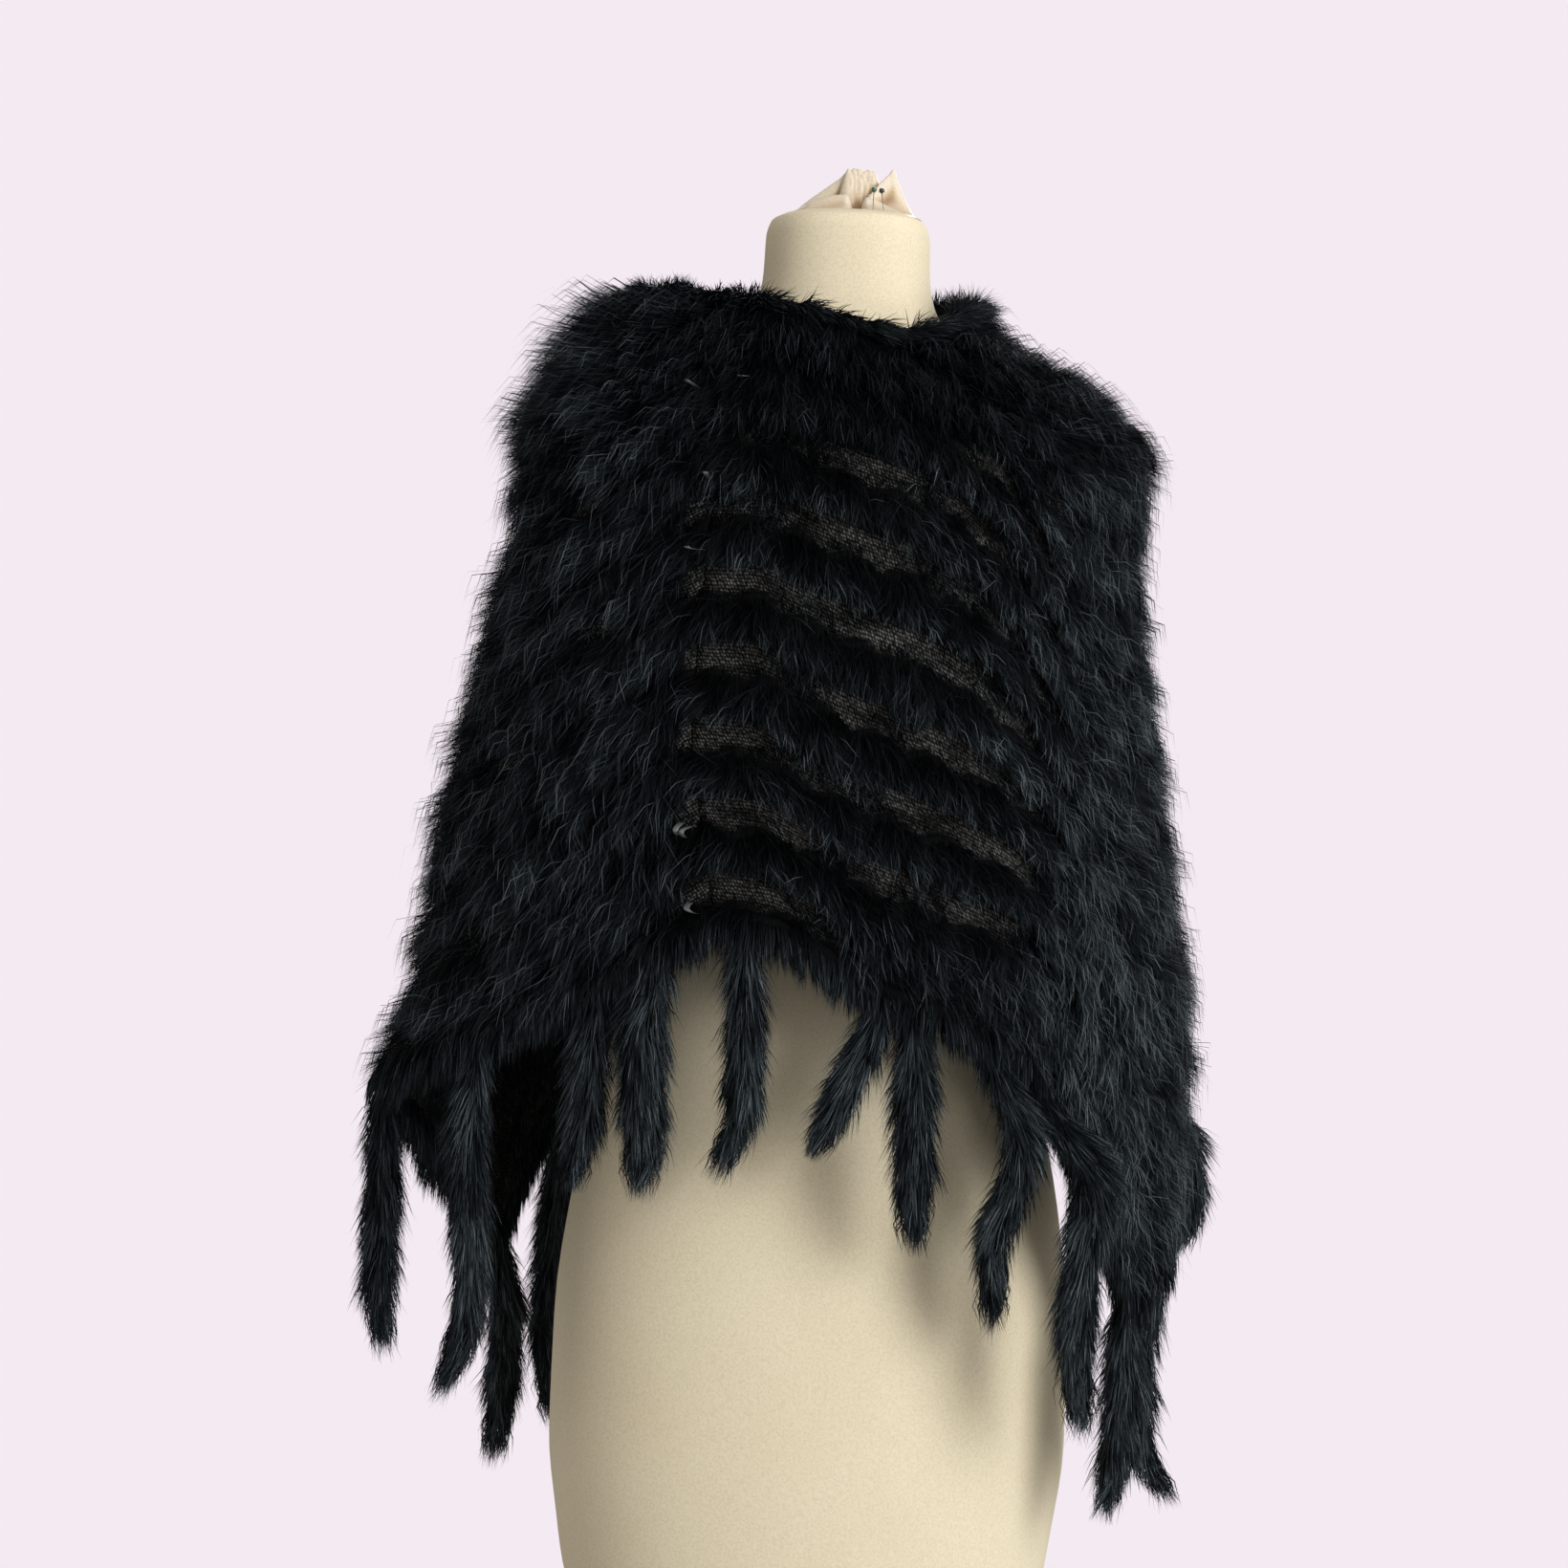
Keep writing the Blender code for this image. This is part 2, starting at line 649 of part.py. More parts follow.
def build():
    for old in list(bpy.data.objects):
        bpy.data.objects.remove(old)
    collection = bpy.data.collections.new("fur_poncho_on_dress_form")
    bpy.context.scene.collection.children.link(collection)

    fur = material("black_fur", FUR_COLOUR, FUR_ROUGHNESS)
    tail_fur = material("black_tail_fur", TAIL_COLOUR, TAIL_ROUGHNESS)
    jersey = material("cream_jersey", JERSEY_COLOUR, JERSEY_ROUGHNESS)
    satin = material("cream_gathered_jersey", JERSEY_COLOUR, JERSEY_ROUGHNESS)

    form_data = loft([form_ring(section) for section in FORM])
    bmesh.ops.recalc_face_normals(form_data, faces=form_data.faces)
    form_tree = BVHTree.FromBMesh(form_data)
    right = panel_columns(SEAM_AZIMUTH, form_tree)
    left = panel_columns(SEAM_AZIMUTH + HALF_TURN, form_tree)

    place("dress_form", form_data, jersey, collection)
    neck_top = FORM[-1].height
    place("neck_gather", loft([gather_ring(section, neck_top) for section in GATHER]), satin, collection)
    place("panel_right", panel_mesh(right), fur, collection)
    place("panel_left", panel_mesh(left), fur, collection)
    place("neck_edging", closed_strip([neck_roll_section(c) for c in right + left], True), fur, collection)
    place("hem_tails_right", edging_with_tails(right), tail_fur, collection)
    place("hem_tails_left", edging_with_tails(left), tail_fur, collection)


build()
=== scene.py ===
"""The looks of a knitted fur poncho on a limbless dress form: fur, knit, jersey, pins and light."""

import json
import math
from collections import namedtuple

import bpy
import numpy as np
from mathutils import Matrix, Vector, noise
from mathutils.bvhtree import BVHTree

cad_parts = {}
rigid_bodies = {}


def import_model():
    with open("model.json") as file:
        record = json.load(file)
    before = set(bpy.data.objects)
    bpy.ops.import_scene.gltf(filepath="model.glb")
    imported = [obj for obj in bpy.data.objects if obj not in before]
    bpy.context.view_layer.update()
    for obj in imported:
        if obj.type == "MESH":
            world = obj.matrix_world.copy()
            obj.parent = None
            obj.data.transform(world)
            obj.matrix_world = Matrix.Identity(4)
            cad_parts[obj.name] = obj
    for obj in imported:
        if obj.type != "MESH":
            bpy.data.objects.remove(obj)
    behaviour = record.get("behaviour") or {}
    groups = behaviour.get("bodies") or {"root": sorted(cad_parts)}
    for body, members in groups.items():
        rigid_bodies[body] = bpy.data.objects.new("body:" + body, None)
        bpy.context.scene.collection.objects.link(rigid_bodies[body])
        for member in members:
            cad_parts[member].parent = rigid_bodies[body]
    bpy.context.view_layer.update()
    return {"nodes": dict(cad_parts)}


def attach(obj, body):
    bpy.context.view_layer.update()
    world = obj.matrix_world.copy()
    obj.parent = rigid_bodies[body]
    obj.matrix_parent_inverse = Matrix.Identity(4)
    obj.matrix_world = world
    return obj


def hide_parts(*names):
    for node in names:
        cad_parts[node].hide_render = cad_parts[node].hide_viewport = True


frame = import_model()


def table(columns, *rows):
    """Rows of values with named columns."""
    row = namedtuple("Row", columns)
    return [row(*values) for values in rows]


HALF_TURN = 180.0
UP = np.array([0.0, 0.0, 1.0])
LEVEL = np.array([1.0, 1.0, 0.0])

# The photograph's view
CAMERA_AT = (-0.0305, -2.3, 0.549)
CAMERA_ROLL = math.radians(2.0)
FIELD_WIDTH = 1.066
SENSOR = 36.0
BACKDROP = (0.905, 0.826, 0.887, 1.0)

# Cloth and fur, with the same sizes as the solids
KNIT_WALL = 0.003
FUR_DEPTH = 0.0165
ROW_PITCH = 0.050
ROW_VALLEY = 0.30
VALLEY_CLOSED = 0.45
BARE_AZIMUTH = 12.0
BARE_REACH = (35.0, 60.0)
LEFT_SHOULDER_FUR = 0.017
LEFT_SHOULDER_FROM = 0.715
LEFT_SHOULDER_TO = 0.765
SEAM_AZIMUTH = -26.0
SEAM_HALF_ANGLE = 0.11
CLOTH_SQUARENESS = 2.15
REST_CLEARANCE = 0.0021
POINT_TURN = 89.0
ARC_PAST_POINT = 2.0
LEAN_DEGREES = -8.0
LEAN_FROM = 0.450
LEAN_TO = 0.600
EDGING_HEIGHT = 0.016
NECK_ROLL_HEIGHT = 0.017
HEM_INFLUENCE = 0.30
HANG_DROP = 0.030
HANG_STEP = 0.025
FOLD_RUN = 0.200

# How finely the cloth is modelled, and how much of the fur's depth is solid pile
COLUMNS = 118
LINES = 150
PILE_SHARE = 0.46
SHOULDER_PILE_SHARE = 0.30
CREST_FROM = 0.25
CREST_TO = 0.65
CREST_SOFT = 0.08
CLOSED_ROW = 0.040
TUFT_WIDTH = 0.036
TUFT_BULGE = 0.0026
WRONG_SIDE_KNIT = 0.30

# The rolls at neck and hem: their rounding, their place, and for each its width and how narrow it is
EDGE_ROUNDNESS = 0.8
EDGE_GAP = 0.0004
NECK_PILE_SHARE = 0.42
NECK_PILE_WIDTH = 0.60
NECK_NARROW = 0.94
NECK_SIDES = 14
HEM_PILE_WIDTH = 0.80
HEM_NARROW = 0.92
HEM_SIDES = 10

# Hairs on each half of a panel and on its wrong side, and the share of hairs that are straight and
# of one triangle
PANEL_HAIRS = 92000
WRONG_SIDE_HAIRS = 9000
STRAIGHT_SHARE = 0.83
EDGE_STRAIGHT_SHARE = 0.62
STRAIGHT_POINTS = [0, 1, 4]
# Painted shade along each hair, from its root to its tip: darkest at the root, deep in the fur
PAINTED_SHADE_ALONG_HAIR = np.array([0.10, 0.10, 0.50, 0.50, 1.0])
GUARD_WIDTH = 0.00045
ROOT_DEPTH = 0.0012

# Fur at the neck, at the hem and on a tail of middle size: hairs, the share that are guard hairs, the
# shortest length and what chance adds, the soft hairs' width, then for guard hairs and for soft hairs
# the tone, what chance adds to it, and for guard hairs the power of that chance
NECK_FUR, HEM_FUR, TAIL_FUR = table(
    "hairs guards short longer wide pale paler power dark darker",
    (30000, 0.18, 0.012, 0.010, 0.00085, 0.30, 0.70, 1.5, 0.10, 0.22),
    (18000, 0.22, 0.014, 0.014, 0.00095, 0.25, 0.60, 1.5, 0.07, 0.22),
    (3700, 0.22, 0.016, 0.013, 0.00090, 0.30, 0.70, 1.3, 0.08, 0.26),
)

HEM = table(
    "turn hem smooth",
    (0.0, 0.452, 0.450),
    (12.0, 0.450, 0.450),
    (24.0, 0.434, 0.440),
    (36.0, 0.414, 0.430),
    (53.0, 0.394, 0.418),
    (69.0, 0.368, 0.396),
    (78.0, 0.334, 0.370),
    (84.0, 0.268, 0.336),
    (POINT_TURN, 0.216, 0.312),
    (97.0, 0.256, 0.312),
    (106.0, 0.284, 0.318),
    (120.0, 0.330, 0.338),
    (132.0, 0.350, 0.356),
    (146.0, 0.384, 0.388),
    (162.0, 0.418, 0.422),
    (HALF_TURN, 0.452, 0.450),
)

YOKE = table(
    "left right front back z_left z_right z_front z_back dip",
    (0.134, 0.083, 0.092, 0.086, 0.862, 0.864, 0.850, 0.878, 0.015),
    (0.154, 0.112, 0.104, 0.097, 0.843, 0.834, 0.824, 0.850, 0.011),
    (0.174, 0.163, 0.114, 0.104, 0.805, 0.807, 0.790, 0.814, 0.003),
)
DIP_AZIMUTH = 30.0
DIP_HALF_WIDTH = 55.0

HANG = table(
    "height left right front back",
    (0.190, 0.286, 0.238, 0.160, 0.156),
    (0.330, 0.284, 0.237, 0.161, 0.155),
    (0.400, 0.262, 0.236, 0.160, 0.150),
    (0.500, 0.248, 0.218, 0.152, 0.140),
    (0.600, 0.228, 0.203, 0.143, 0.128),
    (0.660, 0.216, 0.194, 0.138, 0.121),
    (0.715, 0.200, 0.189, 0.132, 0.115),
    (0.765, 0.1917, 0.192, 0.122, 0.110),
    (0.790, 0.187, 0.187, 0.112, 0.106),
)

FOLDS = table(
    "azimuth half_width depth top",
    (-44.0, 12.0, -0.008, 0.560),
    (-74.0, 13.0, 0.012, 0.520),
    (-98.0, 12.0, -0.016, 0.480),
    (-120.0, 13.0, 0.010, 0.560),
    (-150.0, 14.0, -0.009, 0.560),
    (-172.0, 11.0, 0.009, 0.600),
    (22.0, 15.0, 0.007, 0.600),
    (49.0, 11.0, -0.012, 0.520),
    (65.0, 11.0, 0.011, 0.640),
    (84.0, 10.0, -0.009, 0.540),
    (112.0, 13.0, 0.009, 0.560),
    (138.0, 13.0, -0.010, 0.520),
)

TAILS = table(
    "azimuth length width swing_1 swing_2 swing_3 out",
    (-18.0, 0.160, 0.030, 0.004, 0.004, -0.014, 0.004),
    (13.0, 0.100, 0.030, -0.014, -0.028, -0.040, 0.006),
    (20.0, 0.150, 0.034, -0.002, 0.001, 0.002, 0.006),
    (34.0, 0.186, 0.032, 0.018, 0.002, 0.002, 0.010),
    (45.0, 0.232, 0.038, -0.006, -0.012, -0.004, 0.056),
    (62.0, 0.145, 0.034, 0.000, -0.002, -0.013, 0.000),
    (67.0, 0.152, 0.030, -0.010, -0.009, 0.018, 0.002),
    (98.0, 0.104, 0.032, 0.012, 0.014, 0.000, 0.004),
    (118.0, 0.150, 0.034, 0.004, -0.004, -0.010, 0.004),
    (136.0, 0.140, 0.032, -0.004, 0.004, 0.012, 0.004),
    (150.0, 0.150, 0.036, 0.000, 0.002, 0.002, 0.006),
    (165.0, 0.150, 0.030, -0.004, -0.004, 0.010, 0.004),
    (190.0, 0.130, 0.032, 0.006, 0.012, 0.018, 0.006),
    (206.0, 0.160, 0.034, -0.004, -0.008, -0.010, 0.006),
    (221.0, 0.150, 0.032, -0.008, 0.000, -0.006, 0.006),
    (-134.0, 0.312, 0.036, -0.014, -0.020, -0.014, 0.038),
    (-117.0, 0.166, 0.036, 0.012, 0.012, 0.004, 0.004),
    (-88.0, 0.182, 0.036, 0.005, 0.004, 0.010, 0.004),
    (-65.0, 0.248, 0.036, 0.004, 0.008, -0.014, 0.008),
    (-48.0, 0.128, 0.032, 0.002, 0.000, -0.008, 0.006),
    (-36.0, 0.154, 0.042, 0.000, 0.002, 0.004, 0.010),
)
TAIL_SHAPE = ((0.0, 0.62), (0.10, 0.80), (0.34, 1.00), (0.64, 0.94), (0.90, 0.66), (1.00, 0.22))
TAIL_BENDS = (0.0, 0.34, 0.67, 1.0)
TAIL_THICKNESS = 0.80
TAIL_OUT_AT = 0.24
TAIL_PILE = 0.62
TAIL_PILE_END = 0.84
TAIL_SIDES = 12
TAIL_RINGS = 22

FORM = table(
    "height side front back",
    (0.000, 0.154, 0.110, 0.104),
    (0.008, 0.160, 0.115, 0.109),
    (0.050, 0.168, 0.120, 0.114),
    (0.110, 0.175, 0.123, 0.119),
    (0.190, 0.174, 0.121, 0.122),
    (0.270, 0.165, 0.114, 0.117),
    (0.350, 0.147, 0.104, 0.101),
    (0.420, 0.130, 0.095, 0.087),
    (0.475, 0.123, 0.091, 0.082),
    (0.540, 0.129, 0.098, 0.085),
    (0.610, 0.144, 0.115, 0.092),
    (0.670, 0.156, 0.127, 0.098),
    (0.710, 0.164, 0.125, 0.102),
    (0.740, 0.177, 0.114, 0.103),
    (0.762, 0.187, 0.105, 0.101),
    (0.778, 0.187, 0.099, 0.098),
    (0.790, 0.178, 0.094, 0.095),
    (0.801, 0.160, 0.089, 0.091),
    (0.813, 0.138, 0.083, 0.086),
    (0.827, 0.115, 0.076, 0.080),
    (0.842, 0.092, 0.069, 0.073),
    (0.857, 0.073, 0.062, 0.066),
    (0.874, 0.061, 0.058, 0.060),
    (0.895, 0.057, 0.056, 0.057),
    (0.920, 0.056, 0.055, 0.056),
    (0.930, 0.053, 0.052, 0.053),
    (0.934, 0.046, 0.045, 0.046),
)
FORM_SIDES = 96
FORM_RINGS_BETWEEN = 4
FORM_SQUARENESS = 2.25
FORM_INSET = 0.0004

# The gathered jersey: ridges of cloth over the neck's top, from one end to the other, each end with a
# height, and how far each spreads to its sides; a peak is a ridge with both ends nearly in one place
RIDGES = table(
    "x1 y1 x2 y2 height1 height2 wide",
    (-0.044, -0.006, -0.026, -0.020, 0.004, 0.0125, 0.0070),
    (-0.026, -0.020, -0.002, -0.025, 0.0125, 0.0175, 0.0055),
    (-0.022, -0.027, -0.003, -0.031, 0.0050, 0.0095, 0.0035),
    (-0.034, 0.005, -0.003, 0.003, 0.013, 0.0330, 0.0050),
    (-0.001, 0.000, 0.016, 0.001, 0.0365, 0.0360, 0.0068),
    (0.014, -0.010, 0.0295, 0.000, 0.020, 0.0385, 0.0046),
    (0.0295, 0.000, 0.047, -0.005, 0.0385, 0.002, 0.0060),
    (0.010, -0.024, 0.044, -0.018, 0.0175, 0.004, 0.0065),
    (0.012, -0.031, 0.040, -0.024, 0.0085, 0.004, 0.0045),
    (-0.030, 0.020, 0.034, 0.018, 0.012, 0.012, 0.0120),
)
GROOVE_X = 0.0053
GROOVE_HALF = 0.0034
GROOVE_DEPTH = 0.018
# How far a point lies below its neighbours sets the painted shade in the creases
CREASE_PROBES = ((0.0035, 0.0), (-0.0035, 0.0), (0.0, 0.0035), (0.0, -0.0035))
CREASE_DEPTH = 0.0045
GATHER_SHARPNESS = 420.0
GATHER_RADIUS = 0.0475
GATHER_ROUNDNESS = 0.76
GATHER_RINGS = 64
GATHER_SIDES = 160

# Pins: place of the head and of the point, and whether the head is green rather than black
PINS = table(
    "head point green",
    ((0.0158, -0.0365, 0.9485), (0.0156, -0.0375, 0.9335), True),
    ((0.0210, -0.0365, 0.9480), (0.0228, -0.0370, 0.9330), False),
)
PIN_HEAD = 0.0019
PIN_SHAFT = 0.00028
PIN_STEPS = 12
PIN_HEAD_SIDES = 24
PIN_SHAFT_SIDES = 12

# Pale leather ends of the fur strips beside the front seam: place, length and lean
NUBS = table(
    "azimuth height length lean curl",
    (-42.5, 0.806, 0.012, 0.5, 0.8),
    (-34.5, 0.810, 0.016, -0.4, 1.4),
    (-37.5, 0.746, 0.010, 0.9, -0.9),
    (-49.0, 0.756, 0.018, -0.5, 1.6),
    (-41.5, 0.700, 0.014, 0.4, 1.2),
    (-36.0, 0.520, 0.010, -0.5, 0.6),
    (-33.0, 0.522, 0.013, 0.5, -0.8),
    (-29.0, 0.471, 0.012, 0.2, 0.9),
)
NUB_RINGS = 9
NUB_SIDES = 8
NUB_WIDTH = 0.0024
NUB_THICKNESS = 0.0007
NUB_RISE = 0.021

# The knit's two ways across the cloth, as stitches in a metre along it and up it
STITCH_AXES = ((480.0, 215.0, 0.0), (0.0, 430.0, 0.0))

LIGHTS = table(
    "name place size power colour",
    ("key", (2.0, -2.5, 1.30), 1.6, 62.0, (0.99, 0.985, 0.985)),
    ("fill", (-2.4, -2.2, 1.2), 1.8, 6.0, (1.0, 0.90, 0.78)),
    ("top", (0.6, -0.6, 3.0), 1.4, 12.0, (0.97, 0.98, 1.0)),
    ("low", (2.0, -1.9, 0.10), 1.2, 16.0, (0.97, 0.99, 1.0)),
    ("back", (0.4, 2.6, 1.8), 1.8, 40.0, (0.95, 0.97, 1.0)),
)
LIGHTS_AIM = Vector((0.0, 0.0, 0.55))
STAGE_REACH = 9.0

rng = np.random.default_rng(20)


def curve_through(stations, values):
    """A function for the smooth curve through the values, which never swings past them."""
    steps = [b - a for a, b in zip(stations, stations[1:])]
    slopes = [(b - a) / step for a, b, step in zip(values, values[1:], steps)]
    turning = [0.0 if p * q <= 0 else 2 * p * q / (p + q) for p, q in zip(slopes, slopes[1:])]
    tangents = [slopes[0], *turning, slopes[-1]]

    def value(at):
        at = min(max(at, stations[0]), stations[-1])
        i = max(k for k in range(len(steps)) if stations[k] <= at)
        t = (at - stations[i]) / steps[i]
        ease = t * t * (3 - 2 * t)
        start = tangents[i] * steps[i] * t * (1 - t) ** 2
        end = tangents[i + 1] * steps[i] * t * t * (1 - t)
        return values[i] + (values[i + 1] - values[i]) * ease + start - end

    return value


def columns_of(rows, key):
    """A smooth curve for each other column of a table, by the key column's values."""
    stations = [getattr(row, key) for row in rows]
    names = [name for name in rows[0]._fields if name != key]
    return {n: curve_through(stations, [getattr(row, n) for row in rows]) for n in names}


def eased(value, start, end):
    """0 before the start and 1 past the end, with a smooth way between; the end may be the lower one."""
    t = np.clip((value - start) / (end - start), 0.0, 1.0)
    return t * t * (3 - 2 * t)


HEM_CURVES = columns_of(HEM, "turn")
HANG_CURVES = columns_of(HANG, "height")
FORM_CURVES = columns_of(FORM, "height")


def unit(vectors):
    return vectors / np.maximum(np.linalg.norm(vectors, axis=-1, keepdims=True), 1e-9)


def direction(azimuth):
    """The level way out at an azimuth, in degrees from the front towards the viewer's right."""
    angle = math.radians(azimuth)
    return np.array([math.sin(angle), -math.cos(angle), 0.0])


def between(azimuth, left, right, front, back):
    """An azimuth's sine and cosine, and the values of the two sides that it lies between."""
    sine = math.sin(math.radians(azimuth))
    cosine = math.cos(math.radians(azimuth))
    return sine, cosine, right if sine > 0 else left, front if cosine > 0 else back


def oval_radius(azimuth, reaches, squareness):
    """The reach at an azimuth of an oval whose reaches to the left, right, front and back may differ."""
    sine, cosine, side, face = between(azimuth, *reaches)
    total = (abs(sine) / side) ** squareness + (abs(cosine) / face) ** squareness
    return total ** (-1 / squareness)


def around(azimuth, heights):
    """A height at an azimuth, blended from the heights to the left, right, front and back."""
    sine, cosine, side, face = between(azimuth, *heights)
    return side * sine * sine + face * cosine * cosine


def leftward(points):
    """How far each point lies to the left: from 0 at the front, back and right to 1 at the far left."""
    return eased(-points[..., 0] / np.hypot(points[..., 0], points[..., 1]), 0.0, 1.0)


def turn_of(azimuth):
    """How far round its own panel an azimuth lies."""
    return (azimuth - SEAM_AZIMUTH) % HALF_TURN


def apart(first, second):
    """The angle between two azimuths."""
    return abs((first - second + HALF_TURN) % (2 * HALF_TURN) - HALF_TURN)


def fold_depth(azimuth, height):
    """How far the folds move the hanging cloth out at a place."""
    depth = 0.0
    for fold in FOLDS:
        away = apart(azimuth, fold.azimuth)
        if away < fold.half_width:
            bell = math.cos(math.pi / 2 * away / fold.half_width) ** 2
            depth += fold.depth * bell * eased(height, fold.top, fold.top - FOLD_RUN)
    return depth


def hang_point(azimuth, height):
    """A point on the inside of the hanging cloth, for a column that meets the hem at this azimuth."""
    here = azimuth + LEAN_DEGREES * eased(height, LEAN_FROM, LEAN_TO)
    reaches = [HANG_CURVES[side](height) for side in ("left", "right", "front", "back")]
    radius = oval_radius(here, reaches, CLOTH_SQUARENESS) + fold_depth(azimuth, height)
    return direction(here) * radius + UP * height


def yoke_point(azimuth, ring):
    """A point on the inside of the cloth over the shoulders."""
    here = azimuth + LEAN_DEGREES
    radius = oval_radius(here, (ring.left, ring.right, ring.front, ring.back), CLOTH_SQUARENESS)
    dip = ring.dip * math.cos(math.pi / 2 * min(apart(here, DIP_AZIMUTH) / DIP_HALF_WIDTH, 1.0)) ** 2
    height = around(here, (ring.z_left, ring.z_right, ring.z_front, ring.z_back)) - dip
    return direction(here) * radius + UP * height


def smoothed(points, pieces=4):
    """A smooth curve through the points, as closer points."""
    ends = [points[0] * 2 - points[1], *points, points[-1] * 2 - points[-2]]
    curve = []
    for a, b, c, d in zip(ends, ends[1:], ends[2:], ends[3:]):
        for step in range(pieces):
            t = step / pieces
            bend = (a * 2 - b * 5 + c * 4 - d) * t * t + (b * 3 - a - c * 3 + d) * t ** 3
            curve.append((b * 2 + (c - a) * t + bend) / 2)
    curve.append(points[-1].copy())
    return np.array(curve)


def profile(azimuth, bottom):
    """The inside of the cloth from a height at the hem up to the neck's edge, as close points."""
    top = yoke_point(azimuth, YOKE[-1])[2] - HANG_DROP
    steps = max(2, round((top - bottom) / HANG_STEP))
    hanging = [hang_point(azimuth, bottom + (top - bottom) * i / steps) for i in range(steps + 1)]
    return smoothed(hanging + [yoke_point(azimuth, ring) for ring in reversed(YOKE)])


def lengths_along(points):
    """How far along a line of close points each of them lies."""
    return np.concatenate([[0.0], np.cumsum(np.linalg.norm(np.diff(points, axis=0), axis=1))])


def resampled(points, count):
    """Evenly spaced points along a line of close points, and the line's length."""
    lengths = lengths_along(points)
    wanted = np.linspace(0.0, lengths[-1], count)
    return np.stack([np.interp(wanted, lengths, points[:, k]) for k in range(3)], axis=1), lengths[-1]


def column_azimuths(seam):
    """Azimuths of the columns, evenly along the hem from one seam to the next."""
    turns = np.linspace(0.0, HALF_TURN, 361)
    lengths = lengths_along(np.array([hang_point(seam + t, HEM_CURVES["hem"](t)) for t in turns]))
    azimuths = seam + np.interp(np.linspace(0.0, lengths[-1], COLUMNS), lengths, turns)
    azimuths[0] = seam + SEAM_HALF_ANGLE
    azimuths[-1] = seam + HALF_TURN - SEAM_HALF_ANGLE
    return azimuths


def row_level(azimuth, distances):
    """How far up the fur rows each distance from the hem lies, as the rows follow the hem."""
    turn = turn_of(azimuth)
    shift = HEM_CURVES["smooth"](turn) - HEM_CURVES["hem"](turn)
    levels = np.linspace(0.0, 1.2, 1201)
    return np.interp(distances, levels + shift * eased(levels, 0.0, HEM_INFLUENCE), levels)


def turned_noise(points, scale, seed):
    """Smooth noise from about -1 to 1 at each point."""
    flat = points.reshape(-1, 3) * scale + seed
    return np.array([noise.noise(Vector(p)) for p in flat]).reshape(points.shape[:-1])


def openness(points):
    """How far the knit shows between the rows: clearly at the right of the front, else in patches."""
    x, y, z = points[..., 0], points[..., 1], points[..., 2]
    front = eased(y, 0.0, -0.05) * eased(x, -0.108, -0.086) * eased(x, 0.160, 0.110)
    uneven = 0.50 + 0.75 * eased(turned_noise(points, 24.0, 3.0), -0.30, 0.12)
    uneven = uneven * (1.0 - 0.85 * eased(x, 0.100, 0.130) * eased(z, 0.50, 0.44))
    elsewhere = np.maximum(eased(x, -0.125, -0.155), eased(y, -0.02, 0.02))
    patches = 0.8 * elsewhere * eased(turned_noise(points, 15.0, 5.0), 0.12, 0.34)
    return np.maximum(np.minimum(front * uneven, 1.0), patches) * eased(z, 0.795, 0.750)


def row_parts(level, arc):
    """For each place on the rows: its row, how far up the row it is, how raised, and its place in a tuft."""
    phase = level / ROW_PITCH - ROW_VALLEY + 1.0
    row = np.floor(phase)
    within = phase - row
    tuft = np.abs(np.sin(np.pi * (arc / TUFT_WIDTH + row * 0.37)))
    rise = eased(within + 0.03 * tuft, CREST_FROM - CREST_SOFT, CREST_FROM)
    fall = eased(within - 0.16 * tuft, CREST_TO + CREST_SOFT, CREST_TO)
    return row, within, rise * fall, tuft


Cloth = namedtuple("Cloth", "inner outer normal down across level arc opened azimuth")


